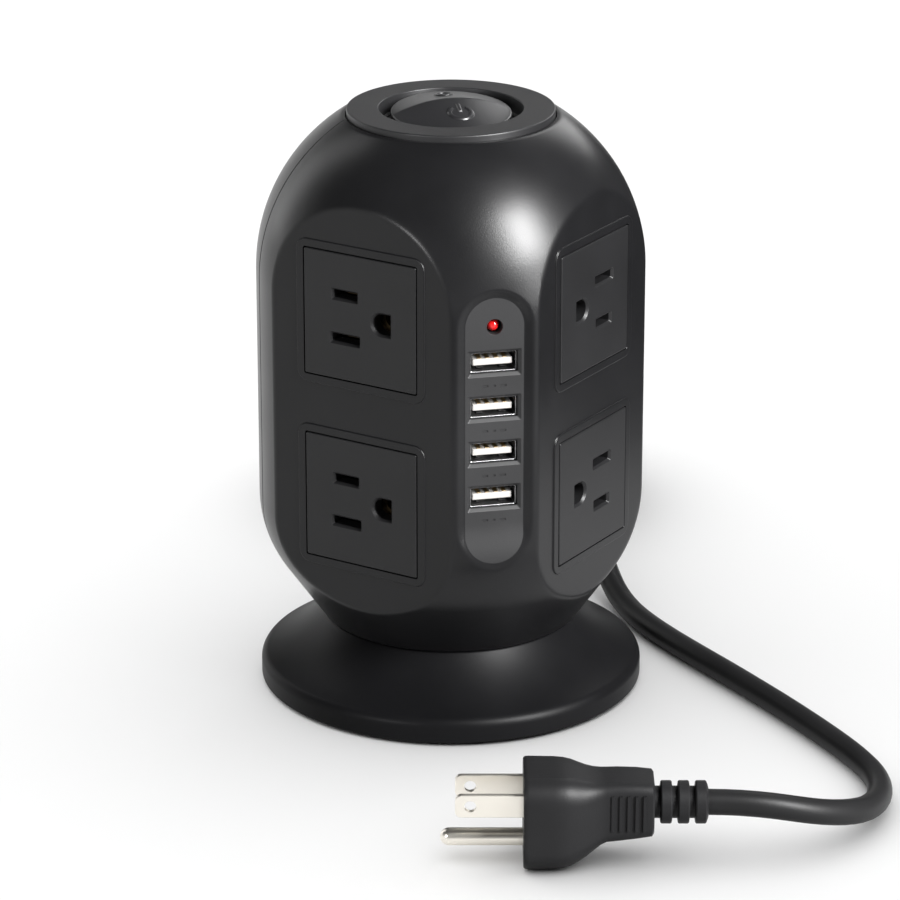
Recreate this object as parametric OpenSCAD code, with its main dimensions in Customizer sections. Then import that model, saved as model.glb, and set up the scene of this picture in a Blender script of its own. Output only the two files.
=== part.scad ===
// Tower power strip: eight outlets on four flat faces, four USB ports,
// a round rocker switch on top, a flared foot and a mains cord with plug.
// +Z is up and the USB column faces -Y. The origin is under the axis, on the floor.

/* [Body] */
// Radius of the round body between its flat faces
body_r = 55.2; // [55:0.1:55.6]
// Distance from the axis to each flat outlet face
face_dist = 46.8; // [46.6:0.1:47]
// Height of the body's top rim
rim_z = 168.9; // [168.6:0.1:169]
// Height of the body's lower edge, where it meets the foot
body_z = 21.2; // [21.2:0.1:21.4]
// Thickness of the body's walls
wall = 2.4; // [2:0.1:2.6]
// Radius of the shoulder arc under the cap
shoulder_r = 52.9; // [52.8:0.1:53]
// Radius of the heel arc above the foot
heel_r = 34; // [33.5:0.1:34.5]

/* [Cap and switch] */
// Height of the cap's top face
cap_z = 170.8; // [170.6:0.1:171]
// Radius of the cap plate
cap_r = 29.35; // [29.2:0.05:29.4]
// Radius of the round well around the rocker, at the cap's face
well_r = 20.2; // [20:0.1:20.6]
// Radius of the rocker
rocker_r = 17.05; // [16.9:0.05:17.1]
// Height of the rocker's hinge axis
pivot_z = 162.6; // [162.4:0.1:162.8]
// Tilt of the rocker each side of level, in degrees
rocker_tilt = 4; // [3:0.5:4]
// Tilt of the contact arm each side of level, in degrees
arm_tilt = 6; // [4.5:0.5:6]

/* [Outlets] */
// Height of the upper row of outlets
upper_z = 121.2; // [121:0.1:121.4]
// Distance between the rows
row_pitch = 54.2; // [54:0.1:54.4]
// Width of an outlet plate
plate_w = 36.6; // [36:0.1:37]
// Height of an outlet plate
plate_h = 36.5; // [36:0.1:37]
// Distance between the two blade slots
slot_pitch = 12.7; // [12.6:0.1:12.8]
// Distance from the blade slots to the ground hole
ground_offset = 11.9; // [11.8:0.1:12]
// Side shift of the blade slots from the plate's middle
slot_shift = -4.9; // [-5:0.1:-4.8]

/* [USB] */
// Width of the recessed USB column
column_w = 18.7; // [18.5:0.1:19]
// Height of the recessed USB column
column_h = 79.2; // [79:0.1:79.6]
// Height of the middle of the USB column
column_z = 93.2; // [93:0.1:93.4]
// Height of the top USB port
port_z = 113; // [112.8:0.1:113.2]
// Distance between USB ports
port_pitch = 13.1; // [13:0.1:13.1]
// Number of USB ports
port_count = 4; // [4:1:4]

/* [Foot] */
// Radius of the foot's rim
foot_r = 55.3; // [55.2:0.1:55.5]
// Radius of the foot's neck under the body
neck_r = 36.5; // [36.4:0.1:36.6]
// Radius of the hollow flare between neck and rim
flare_r = 40; // [40:0.1:40.4]

/* [Cord and plug] */
// Diameter of the mains cord
cord_d = 7; // [6.8:0.1:7.2]
// Radius of the middle of the coil's turns
coil_r = 42; // [41.5:0.5:42]
// Width of the coil's turns side by side
coil_w = 25; // [24:0.5:25]
// Width of a plug blade
blade_w = 6.35; // [6.3:0.05:6.4]
// Thickness of a plug blade
blade_t = 1.5; // [1.4:0.1:1.6]
// Direction the plug points, in degrees from +X
plug_yaw = 167; // [165:1:169]

/* [Hidden] */
fine = 128;
gap = 0.1;
lower_z = upper_z - row_pitch;
mid_z = (upper_z + lower_z) / 2;
shoulder_x = body_r - shoulder_r;
shoulder_z = 124.3;
heel_x = body_r - heel_r;
heel_z = 57.5;
cone_angle = 35;
face_names = ["front_left", "front_right", "rear_right", "rear_left"];
face_angles = [225, 315, 45, 135];
face_flips = [0, 180, 0, 180];
row_names = ["upper", "lower"];
bar_names = ["line", "neutral", "ground"];
outlet_rows = [upper_z, lower_z];
plate_front = face_dist + 0.55;
frame_w = 42;
frame_h = 41.8;
frame_rise = 0.4;
slot_t = 2.2;
hot_len = 7.6;
neutral_len = 8.9;
ground_r = 2.9;
panel_y = -53.4;
port_w = 13.4;
port_h = 5.9;
led_z = 123.4;
bar_x = 33;
bar_t = 0.8;
clip_reach = 7.7;
post_x = 9.5;
post_z = [44, 138];
neck_screw_r = 30;
foot_screw_r = 42;
pad_r = 45;
foot_screw_angles = [22.5, 157.5, 202.5, 337.5];
corner_angles = [45:90:315];
seat_z = 168.1;
housing_r = 19.2;
housing_top = 166.2;
bore_r = 17.6;
arm_z = 151;
exit_z = 8.5;
relief_end = 84;
coil_at = [36, 140];
coil_h = 28;
coil_in = coil_r - coil_w / 2;
coil_out = coil_r + coil_w / 2;
tie_w = 9;
tie_t = 0.8;
tie_angle = 90;
plug_at = [38, -139, 16.3];
blade_z = 1.8;
relief_len = 14.5;
body_len = 34.5;
ground_pin_r = 2.375;

tail_route = [
    [0, 84, 8.5], [0, 90, 8.2], [-1, 97, 7], [-4, 105, 5.4],
    [-8.5, 113, 4.1], [-13, 122, 3.6], [-15.3, 131, 3.5], [-15.5, 140, 3.5]];
lead_route = [
    [80.5, 114.5, 24.5], [73, 104, 24.5], [67, 93, 24], [62, 80, 20.5],
    [60, 66, 14.5], [60, 52, 8.5], [60, 38, 4.6], [61, 24, 3.5],
    [63.5, 10, 3.5], [67.2, -3, 3.5], [71.5, -16, 3.5], [76, -29, 3.5],
    [80.2, -42, 3.5], [84.3, -55, 3.5], [88, -68, 3.5], [91.5, -81.5, 3.5],
    [94.3, -95, 3.5], [95, -109, 3.7], [91, -123, 4.8], [82, -135, 7.4],
    [69, -142, 11.4], [55, -143, 15.2], [46, -141, 16.2], [38, -139, 16.3]];

plate_nodes = [for (f = face_names) for (r = row_names) str(f, "_", r, "_plate")];
bar_nodes = [for (f = face_names) for (b = bar_names) str(f, "_", b, "_bar")];
port_nodes = [for (i = [1:port_count]) str("usb_shell_", i)];
tongue_nodes = [for (i = [1:port_count]) str("usb_tongue_", i)];

// ---- helpers ----
function unit(v) = v / norm(v);
function clamp_index(i, n) = max(0, min(n - 1, i));
function tangent(p, i) = unit(p[clamp_index(i + 1, len(p))] - p[clamp_index(i - 1, len(p))]);
function ring(p, i, r, sides, ref) =
    let (t = tangent(p, i), s = unit(cross(ref, t)), u = cross(t, s))
    [for (k = [0:sides - 1]) p[i] + r * (cos(k * 360 / sides) * s + sin(k * 360 / sides) * u)];
function quad(a, b, c, d) = [[a, b, c], [a, c, d]];
function bezier(a, b, c, d, n) =
    [for (i = [0:n]) let (t = i / n, s = 1 - t)
        s * s * s * a + 3 * s * s * t * b + 3 * s * t * t * c + t * t * t * d];
function face_point(f, d, u, z) =
    let (a = face_angles[f], v = face_flips[f] == 0 ? u : -u)
    [d * cos(a) - v * sin(a), d * sin(a) + v * cos(a), z];

// A tube of flat sides swept along a list of points
module tube(p, r, sides = 8, ref = [0, 0, 1]) {
    n = len(p);
    rings = [for (i = [0:n - 1]) each ring(p, i, r, sides, ref)];
    skin = [for (i = [0:n - 2]) for (k = [0:sides - 1])
        each quad(i * sides + k, (i + 1) * sides + k,
            (i + 1) * sides + (k + 1) % sides, i * sides + (k + 1) % sides)];
    first = [[for (k = [0:sides - 1]) k]];
    last = [[for (k = [0:sides - 1]) n * sides - 1 - k]];
    polyhedron(points = rings, faces = concat(skin, first, last), convexity = 10);
}

module rounded_rect(w, h, r) {
    square([w - 2 * r, h], center = true);
    square([w, h - 2 * r], center = true);
    for (x = [-1, 1]) for (y = [-1, 1])
        translate([x * (w / 2 - r), y * (h / 2 - r)]) circle(r = r, $fn = 32);
}

module stadium(w, h) {
    square([w, h - w], center = true);
    for (s = [-1, 1]) translate([0, s * (h - w) / 2]) circle(d = w, $fn = 64);
}

// Local +X is the face's outward normal and local +Y runs along the face
module on_face(f) {
    rotate([0, 0, face_angles[f]])
        translate([0, 0, mid_z])
            rotate([face_flips[f], 0, 0])
                translate([0, 0, -mid_z])
                    children();
}

// A flat outline in local Y and Z, extruded along +X
module along_x(x, length) {
    translate([x, 0, 0])
        rotate([90, 0, 90])
            linear_extrude(length)
                children();
}

// ---- body shells ----
// Half section of the body, drawn inset from its outer surface
module body_outline(inset) {
    low = body_z + inset;
    tip_x = heel_x + (heel_r - inset) * cos(cone_angle);
    tip_z = heel_z - (heel_r - inset) * sin(cone_angle);
    intersection() {
        translate([shoulder_x, shoulder_z]) circle(r = shoulder_r - inset, $fn = fine);
        translate([0, shoulder_z]) square([60, rim_z - inset - shoulder_z]);
    }
    translate([0, heel_z]) square([body_r - inset, shoulder_z - heel_z]);
    intersection() {
        translate([heel_x, heel_z]) circle(r = heel_r - inset, $fn = fine);
        translate([0, tip_z]) square([60, heel_z - tip_z]);
    }
    polygon([[0, low], [tip_x - (tip_z - low) * tan(cone_angle), low], [tip_x, tip_z], [0, tip_z]]);
}

module body_round(inset) {
    rotate_extrude($fn = fine) body_outline(inset);
}

// The body's outer form with its four flat faces
module body_form(inset) {
    difference() {
        body_round(inset);
        for (a = corner_angles)
            rotate([0, 0, a]) translate([face_dist - inset, -60, 0]) cube([40, 120, 200]);
    }
}

module neck_bosses() {
    for (a = corner_angles)
        rotate([0, 0, a])
            translate([neck_screw_r, 0, body_z])
                cylinder(r = 3.6, h = 12.8, $fn = 48);
}

module neck_pilots() {
    for (a = corner_angles)
        rotate([0, 0, a])
            translate([neck_screw_r, 0, body_z - 1])
                cylinder(r = 1.35, h = 12.8, $fn = 32);
}

// The space on one side of the seam plane
module half_space(side) {
    translate([-70, side > 0 ? gap / 2 : -70, 0]) cube([140, 70 - gap / 2, 200]);
}

// The curved wall of one half, cut away where the flat faces are
module curved_wall(side) {
    difference() {
        intersection() {
            body_round(0);
            half_space(side);
        }
        body_round(wall);
        for (a = corner_angles)
            rotate([0, 0, a]) translate([face_dist, -60, 0]) cube([40, 120, 200]);
    }
}

// The two flat walls of one half
module flat_walls(side) {
    intersection() {
        body_round(0.02);
        half_space(side);
        union() {
            for (a = face_angles)
                if (sin(a) * side > 0) rotate([0, 0, a])
                    translate([face_dist - wall, -32, 20]) cube([wall, 64, 150]);
        }
    }
}

module outlet_frames(side) {
    for (f = [0:3])
        if (sin(face_angles[f]) * side > 0) on_face(f)
            for (z = outlet_rows) translate([0, 0, z])
                along_x(face_dist - wall, wall + frame_rise)
                    rounded_rect(frame_w, frame_h, 3.5);
}

module outlet_windows(side) {
    for (f = [0:3])
        if (sin(face_angles[f]) * side > 0) on_face(f)
            for (z = outlet_rows)
                translate([40, -plate_w / 2 - 0.3, z - plate_h / 2 - 0.3])
                    cube([12, plate_w + 0.6, plate_h + 0.6]);
}

// One half of the hollow body, with its outlet frames and open ends
module shell_half(side) {
    difference() {
        union() {
            curved_wall(side);
            flat_walls(side);
            outlet_frames(side);
            intersection() {
                neck_bosses();
                half_space(side);
            }
        }
        neck_pilots();
        outlet_windows(side);
        translate([0, 0, seat_z - gap]) cylinder(r = cap_r + 0.35, h = 6, $fn = fine);
        translate([0, 0, 160]) cylinder(r = 23.4, h = 12, $fn = fine);
        translate([0, 0, body_z - 1]) cylinder(r = 24, h = 6, $fn = fine);
    }
}

module screw_post(side, length) {
    for (x = [-post_x, post_x]) for (z = post_z)
        translate([x, side * gap / 2, z])
            rotate([-90 * side, 0, 0])
                cylinder(r = 3.5, h = length, $fn = 48);
}

module port_window(i) {
    z = port_z - i * port_pitch;
    translate([-port_w / 2, -56, z - port_h / 2]) cube([port_w, 12, port_h]);
    hull() {
        translate([-7.5, panel_y - 0.1, z - 3.75]) cube([15, 0.1, 7.5]);
        translate([-port_w / 2, panel_y + 0.7, z - port_h / 2]) cube([port_w, 0.1, port_h]);
    }
}

module front_shell() {
    color("#2b2c2f")
    difference() {
        union() {
            shell_half(-1);
            intersection() {
                translate([0, panel_y + wall, column_z])
                    rotate([90, 0, 0]) linear_extrude(4) stadium(column_w + 3.6, column_h + 3.6);
                body_form(0);
            }
            intersection() {
                screw_post(-1, 53.4);
                body_form(1);
            }
        }
        translate([0, panel_y, column_z])
            rotate([90, 0, 0]) linear_extrude(6) stadium(column_w, column_h);
        for (i = [0:port_count - 1]) port_window(i);
        translate([0, -48, led_z]) rotate([90, 0, 0]) cylinder(r = 2.2, h = 10, $fn = 48);
        for (x = [-post_x, post_x]) for (z = post_z)
            translate([x, gap, z]) rotate([90, 0, 0]) cylinder(r = 1.35, h = 16, $fn = 32);
    }
}

module rear_shell() {
    color("#27282b")
    difference() {
        union() {
            shell_half(1);
            intersection() {
                screw_post(1, 53.4);
                body_form(1);
            }
        }
        for (x = [-post_x, post_x]) for (z = post_z) {
            translate([x, 60, z]) rotate([90, 0, 0]) cylinder(r = 1.7, h = 62, $fn = 32);
            translate([x, 60, z]) rotate([90, 0, 0]) cylinder(r = 3.1, h = 38, $fn = 48);
        }
    }
}

module shell_screws() {
    color("#a9abad")
    for (x = [-post_x, post_x]) for (z = post_z) {
        translate([x, 24, z]) rotate([90, 0, 0]) cylinder(r = 2.8, h = 1.9, $fn = 48);
        translate([x, 22.2, z]) rotate([90, 0, 0]) cylinder(r = 1.3, h = 35, $fn = 32);
    }
}

// ---- cap and switch ----
module top_cap() {
    color("#3a3b3e")
    rotate_extrude($fn = fine)
        polygon([
            [22.9, seat_z], [cap_r, seat_z], [cap_r, cap_z - 0.8], [cap_r - 0.8, cap_z],
            [well_r + 0.7, cap_z], [well_r, cap_z - 0.5], [18.7, 166.7], [18.7, 166.3],
            [22.9, 166.3]]);
}

module switch_housing() {
    color("#1d1e20")
    difference() {
        union() {
            translate([0, 0, 144]) cylinder(r = housing_r, h = housing_top - 144, $fn = fine);
            translate([0, 0, 164.8]) cylinder(r = 22.8, h = housing_top - 164.8, $fn = fine);
        }
        translate([0, 0, 146]) cylinder(r = bore_r, h = 30, $fn = fine);
        translate([-30, 0, pivot_z]) rotate([0, 90, 0]) cylinder(r = 1.55, h = 60, $fn = 48);
        for (y = [0, 9])
            translate([-3.25, y - 0.5, 140]) cube([6.5, 1, 10]);
    }
}

// Height of the rocker's ridge over its rim, at a distance x from the middle
function ridge(x) = 4.05 * (1 - x * x / (rocker_r * rocker_r));
function dome(x, y) =
    let (edge = sqrt(max(0.001, rocker_r * rocker_r - x * x)))
    ridge(x) * max(0, 1 - abs(y) / edge);

// Domed top of two straight-sloped halves that meet in a ridge along X
module rocker_dome(rise) {
    cols = 24;
    rows = 8;
    xs = [for (i = [0:cols]) -rocker_r * cos(180 * i / cols)];
    inner = [for (i = [1:cols - 1]) for (j = [0:rows])
        let (x = xs[i], e = sqrt(rocker_r * rocker_r - x * x), y = e * (2 * j / rows - 1))
        [x, y, rise + dome(x, y)]];
    floor_points = [for (i = [1:cols - 1]) for (j = [0, 1])
        let (x = xs[i], e = sqrt(rocker_r * rocker_r - x * x))
        [x, e * (2 * j - 1), rise - 1.5]];
    ends = [[xs[0], 0, rise], [xs[cols], 0, rise],
        [xs[0], 0, rise - 1.5], [xs[cols], 0, rise - 1.5]];
    base = (cols - 1) * (rows + 1);
    tip = base + (cols - 1) * 2;
    w = rows + 1;
    last = (cols - 2) * w;
    low = base + (cols - 2) * 2;
    top = [for (i = [0:cols - 3]) for (j = [0:rows - 1])
        each quad(i * w + j, i * w + j + 1, (i + 1) * w + j + 1, (i + 1) * w + j)];
    top_ends = concat(
        [for (j = [0:rows - 1]) [tip, j + 1, j]],
        [for (j = [0:rows - 1]) [tip + 1, last + j, last + j + 1]]);
    bottom = [for (i = [0:cols - 3])
        each quad(base + i * 2, base + (i + 1) * 2, base + (i + 1) * 2 + 1, base + i * 2 + 1)];
    bottom_ends = [[tip + 2, base, base + 1], [tip + 3, low + 1, low]];
    sides = concat(
        [for (i = [0:cols - 3])
            each quad(i * w, (i + 1) * w, base + (i + 1) * 2, base + i * 2)],
        [for (i = [0:cols - 3])
            each quad((i + 1) * w + rows, i * w + rows, base + i * 2 + 1, base + (i + 1) * 2 + 1)],
        quad(tip, 0, base, tip + 2), quad(rows, tip, tip + 2, base + 1),
        quad(last, tip + 1, tip + 3, low), quad(tip + 1, last + rows, low + 1, tip + 3));
    polyhedron(
        points = concat(inner, floor_points, ends),
        faces = concat(top, top_ends, bottom, bottom_ends, sides), convexity = 6);
}

module rocker_frame() {
    translate([0, 0, pivot_z]) rotate([rocker_tilt, 0, 0]) children();
}

module rocker_button() {
    color("#303134")
    rocker_frame() {
        rocker_dome(7);
        difference() {
            union() {
                translate([0, 0, -2.6]) cylinder(r = rocker_r, h = 9, $fn = fine);
                rotate([0, 90, 0]) translate([0, 0, -18.9]) cylinder(r = 1.5, h = 37.8, $fn = 48);
            }
            difference() {
                translate([0, 0, -4]) cylinder(r = 15.2, h = 8.6, $fn = fine);
                translate([0, 0, -5]) cylinder(r = 3.2, h = 12, $fn = 48);
            }
            translate([0, 0, -3]) cylinder(r = 1.8, h = 6.5, $fn = 48);
        }
        difference() {
            translate([0, 0, -6.5]) cylinder(r = 3.2, h = 4.4, $fn = 48);
            translate([0, 0, -7]) cylinder(r = 1.8, h = 6, $fn = 48);
        }
    }
}

module rocker_plunger() {
    color("#e8e6df")
    rocker_frame() {
        translate([0, 0, -9.3]) cylinder(r = 1.7, h = 4.8, $fn = 48);
        translate([0, 0, -9.3]) sphere(r = 1.65, $fn = 48);
    }
}

module rocker_spring() {
    turns = 6;
    steps = 12;
    helix = [for (i = [0:turns * steps])
        [1.3 * cos(i * 360 / steps), 1.3 * sin(i * 360 / steps), -4.15 + 7.3 * i / (turns * steps)]];
    color("#b9bcc0") rocker_frame() tube(helix, 0.25, 6);
}

module switch_contact_arm() {
    color("#b98a4a")
    translate([0, 0, arm_z]) rotate([-arm_tilt, 0, 0]) {
        translate([-3, -10.5, -0.4]) cube([6, 21, 0.8]);
        translate([0, 9, -1]) cylinder(r = 1.6, h = 0.8, $fn = 32);
        for (x = [-3.2, 3.2])
            translate([x, 0, 0]) rotate([0, 90, 0])
                cylinder(r = 0.9, h = 2, center = true, $fn = 48);
    }
}

module switch_terminals() {
    color("#b98a4a") {
        translate([-3.15, -0.4, 134]) cube([6.3, 0.8, arm_z - 135.4]);
        translate([-3.15, 8.6, 134]) cube([6.3, 0.8, 14.2]);
        translate([0, 9, 148]) cylinder(r = 1.6, h = 0.9, $fn = 32);
    }
}

// ---- outlets ----
module slot_cut(z, length) {
    translate([40, slot_shift - length / 2, z - slot_t / 2]) cube([12, length, slot_t]);
    hull() {
        translate([plate_front - 0.6, slot_shift - length / 2, z - slot_t / 2])
            cube([0.1, length, slot_t]);
        translate([plate_front, slot_shift - length / 2 - 0.6, z - slot_t / 2 - 0.6])
            cube([0.1, length + 1.2, slot_t + 1.2]);
    }
}

// Round towards the blade slots and square on the other side
module ground_outline(grow) {
    circle(r = ground_r + grow, $fn = 32);
    translate([0, -ground_r - grow]) square([2.7 + grow, 2 * (ground_r + grow)]);
}

module ground_cut() {
    translate([0, slot_shift + ground_offset, 0]) {
        along_x(40, 12) ground_outline(0);
        hull() {
            along_x(plate_front - 0.6, 0.1) ground_outline(0);
            along_x(plate_front, 0.1) ground_outline(0.6);
        }
    }
}

module outlet_plate(f, row) {
    color("#323336")
    on_face(f)
        translate([0, 0, outlet_rows[row]])
            difference() {
                union() {
                    translate([44.2, -plate_w / 2, -plate_h / 2])
                        cube([plate_front - 44.2, plate_w, plate_h]);
                    translate([42.9, -20, -20]) cube([1.3, 40, 40]);
                }
                slot_cut(slot_pitch / 2, hot_len);
                slot_cut(-slot_pitch / 2, neutral_len);
                ground_cut();
            }
}

// One upright strip with a spring clip of two leaves behind each slot
module blade_bar(side, strip_y, strip_w, arm_y, arm_w) {
    foot = lower_z + side * slot_pitch / 2;
    head = upper_z + side * slot_pitch / 2;
    translate([bar_x, strip_y, foot - 3]) cube([bar_t, strip_w, head - foot + 6]);
    for (z = [foot, head]) {
        translate([bar_x, arm_y, z - 3]) cube([bar_t, arm_w, 6]);
        for (s = [-1, 1])
            translate([bar_x + bar_t / 2, slot_shift - 3, z + s * 1.05 - 0.25])
                cube([clip_reach, 6, 0.5]);
    }
}

module ground_bar() {
    y = slot_shift + ground_offset;
    translate([bar_x, y - 2, lower_z - 3]) cube([bar_t, 4, row_pitch + 6]);
    for (z = outlet_rows) translate([bar_x, y, z])
        rotate([0, 90, 0]) difference() {
            cylinder(r = 3.3, h = 8, $fn = 48);
            translate([0, 0, bar_t]) cylinder(r = 2.5, h = 9, $fn = 48);
        }
}

module outlet_bar(f, kind) {
    color("#b98a4a")
    on_face(f) {
        if (kind == 0) blade_bar(1, -14, 4.5, -10, 8.1);
        if (kind == 1) blade_bar(-1, -1.2, 3.8, -7.9, 7);
        if (kind == 2) ground_bar();
    }
}

// ---- USB and charger ----
module usb_shell(i) {
    z = port_z - i * port_pitch;
    color("#c3c6ca")
    translate([0, 0, z]) difference() {
        translate([-6.55, -51.9, -2.86]) cube([13.1, 13.8, 5.72]);
        translate([-6.25, -53, -2.56]) cube([12.5, 14.2, 5.12]);
    }
}

module usb_tongue(i) {
    z = port_z - i * port_pitch;
    color("#eceae4")
    translate([0, 0, z]) {
        translate([-5.55, -50.9, -1.25]) cube([11.1, 9.2, 1.84]);
        translate([-6.1, -41.8, -2.4]) cube([12.2, 2.8, 4.8]);
    }
}

module usb_board() {
    color("#2f6b45") translate([-9, -38, 62]) cube([18, 1.6, 62]);
}

module charger_board() {
    color("#2f6b45") translate([-12, 2, 58]) cube([24, 1.6, 64]);
}

module transformer() {
    color("#d9b13b") {
        translate([-9, -8, 84]) cube([18, 9.9, 20]);
        translate([-6, -14, 87]) cube([12, 6.1, 14]);
    }
}

module capacitors() {
    color("#3b3f4a")
    for (z = [66, 76])
        translate([0, 1.9, z]) rotate([90, 0, 0]) cylinder(r = 4, h = 14, $fn = 48);
}

module power_led() {
    color("#c03028") {
        translate([0, -38.1, led_z]) rotate([90, 0, 0]) cylinder(r = 1.85, h = 12.6, $fn = 48);
        translate([0, -50.7, led_z]) sphere(r = 1.82, $fn = 48);
    }
}

// ---- foot ----
// Half section of the foot, drawn inset from its outer surface
module foot_outline(inset, top) {
    rim_top = 7.9;
    edge = 1.6;
    centre = [68.6, 45];
    reach = foot_r - edge;
    square([reach - inset + edge, rim_top - edge]);
    square([reach - inset, rim_top - inset]);
    if (inset == 0) translate([reach, rim_top - edge]) circle(r = edge, $fn = 32);
    difference() {
        square([reach - inset, top]);
        translate(centre) circle(r = flare_r + inset, $fn = fine);
    }
}

module cord_boss() {
    difference() {
        intersection() {
            translate([0, 60, exit_z]) rotate([90, 0, 0]) cylinder(r = 8.2, h = 18, $fn = 64);
            translate([0, 0, 0.8]) cylinder(r = foot_r - 0.05, h = 30, $fn = fine);
        }
        cylinder(r = foot_r - 2.2, h = 3.1, $fn = fine);
    }
}

module base_cover() {
    color("#2b2c2f")
    difference() {
        union() {
            rotate_extrude($fn = fine) difference() {
                foot_outline(0, body_z - gap);
                foot_outline(2.2, body_z - 2.3);
                square([24, 30]);
                square([60, 0.8]);
            }
            cord_boss();
            for (a = foot_screw_angles) rotate([0, 0, a])
                translate([foot_screw_r, 0, 3.2]) cylinder(r = 3.5, h = 9.6, $fn = 48);
        }
        for (a = foot_screw_angles) rotate([0, 0, a])
            translate([foot_screw_r, 0, 3]) cylinder(r = 1.35, h = 8.8, $fn = 32);
        for (a = corner_angles) rotate([0, 0, a])
            translate([neck_screw_r, 0, 15]) cylinder(r = 1.7, h = 8, $fn = 32);
        translate([0, 60, exit_z]) rotate([90, 0, 0]) cylinder(r = 5.1, h = 20, $fn = 64);
        translate([0, 50.4, exit_z]) rotate([90, 0, 0]) cylinder(r = 7.6, h = 10.4, $fn = 64);
        translate([-7.6, 40, 0]) cube([15.2, 10.4, exit_z]);
    }
}

module base_plate() {
    color("#222325")
    difference() {
        translate([0, 0, 1]) cylinder(r = 52.7, h = 2, $fn = fine);
        for (a = foot_screw_angles) rotate([0, 0, a]) translate([foot_screw_r, 0, 0]) {
            cylinder(r = 1.7, h = 6, $fn = 32);
            cylinder(r = 3.1, h = 2.2, $fn = 48);
        }
    }
}

module rubber_feet() {
    color("#17181a")
    for (a = corner_angles) rotate([0, 0, a])
        translate([pad_r, 0, 0]) cylinder(r = 6, h = 1, $fn = 48);
}

module base_screws() {
    color("#a9abad")
    for (a = foot_screw_angles) rotate([0, 0, a]) translate([foot_screw_r, 0, 0]) {
        translate([0, 0, 1.1]) cylinder(r = 2.8, h = 1, $fn = 48);
        translate([0, 0, 2]) cylinder(r = 1.3, h = 9, $fn = 32);
    }
}

module neck_screws() {
    color("#a9abad")
    for (a = corner_angles) rotate([0, 0, a]) translate([neck_screw_r, 0, 0]) {
        translate([0, 0, body_z - 4.3]) cylinder(r = 2.8, h = 1.9, $fn = 48);
        translate([0, 0, body_z - 2.5]) cylinder(r = 1.3, h = 13, $fn = 32);
    }
}

// ---- wires inside ----
module line_lead() {
    up = bezier([-4, 46, 8], [-4, 20, 8], [-3, 14, 12], [-3, 14, 40], 8);
    top = bezier([-3, 14, 40], [-3, 14, 80], [-2, 10, 116], [0, 1.9, 134], 10);
    color("#202124") tube(concat(up, [for (i = [1:10]) top[i]]), 1.2, 8, [1, 0, 0]);
}

module line_harness() {
    color("#202124")
    for (f = [0:3]) {
        side = cos(face_angles[f]) > 0 ? 1 : -1;
        deep = sin(face_angles[f]) > 0 ? 1 : -1;
        start = [side * 1.3, 9 + deep * 1.3, 132.6];
        out = start + [side * 20, deep * 2, -3];
        tube(bezier(start, out, face_point(f, 22, -12, 118), face_point(f, 31.7, -12, mid_z), 12),
            1.1, 8, [0.1, 1, 0.2]);
    }
}

// Four wires from one splice, under the screw posts and up to the bars
module hub_wires(u, hub_y, hub_z, z, tint) {
    color(tint)
    for (f = [0:3]) {
        side = cos(face_angles[f]) > 0 ? 1 : -1;
        deep = sin(face_angles[f]) > 0 ? 1 : -1;
        start = [side * 1.3, hub_y + deep * 1.3, hub_z];
        tube(bezier(start, start + [side * 20, deep * 2, 2],
            face_point(f, 27, u, z - 26), face_point(f, 31.7, u, z), 12),
            1.1, 8, [0.1, 1, 0.2]);
    }
}

module neutral_harness() {
    hub_wires(0.7, -16, 28, lower_z - 1, "#d8d8d4");
    color("#d8d8d4")
        tube(bezier([4, 46, 8], [4, 26, 8], [0, -16, 14], [0, -16, 27], 10), 1.2, 8, [1, 0, 0]);
}

module ground_harness() {
    hub_wires(7, 20, 33, lower_z + 3, "#3f7d4c");
    color("#3f7d4c")
        tube(bezier([0, 46, 10.5], [0, 26, 10.5], [0, 20, 12], [0, 20, 32], 10), 1.2, 8, [1, 0, 0]);
}

// ---- cord ----
module cord_strain_relief() {
    color("#1c1d1f") {
        translate([0, 0, exit_z]) rotate([-90, 0, 0]) rotate_extrude($fn = 64)
            polygon([[0, 48.8], [5, 48.8], [5, 55.4], [6.2, 55.4],
                [6.2, 58], [4, relief_end], [0, relief_end]]);
        intersection() {
            translate([0, 50.3, exit_z]) rotate([90, 0, 0]) cylinder(r = 7.4, h = 1.6, $fn = 64);
            translate([-8, 48, 3.2]) cube([16, 3, 14]);
        }
    }
}

module cord_tail() {
    color("#1c1d1f") tube(tail_route, cord_d / 2, 10);
}

module cord_lead() {
    color("#1c1d1f") tube(lead_route, cord_d / 2, 10);
}

module tie_block(grow) {
    translate([coil_in - grow, -tie_w / 2, 0])
        cube([coil_out - coil_in + 2 * grow, tie_w, coil_h + grow]);
}

module cord_coil() {
    color("#1c1d1f")
    translate([coil_at[0], coil_at[1], 0]) difference() {
        rotate_extrude($fn = fine)
            translate([coil_r, coil_h / 2])
                rounded_rect(coil_out - coil_in, coil_h, 3);
        rotate([0, 0, tie_angle]) difference() {
            translate([coil_in - 2, -tie_w / 2 - gap, -1])
                cube([coil_out - coil_in + 4, tie_w + 2 * gap, coil_h + 4]);
            translate([coil_in + tie_t, -tie_w, tie_t + gap])
                cube([coil_out - coil_in - 2 * tie_t, 2 * tie_w, coil_h - 2 * tie_t - gap]);
        }
    }
}

module cord_tie() {
    color("#101113")
    translate([coil_at[0], coil_at[1], 0]) rotate([0, 0, tie_angle]) difference() {
        tie_block(0);
        translate([coil_in + tie_t - gap, -tie_w, tie_t])
            cube([coil_out - coil_in - 2 * tie_t + 2 * gap, 2 * tie_w, coil_h - 2 * tie_t + gap]);
    }
}

// ---- plug ----
module plug_frame() {
    translate(plug_at) rotate([0, 0, plug_yaw]) children();
}

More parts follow.
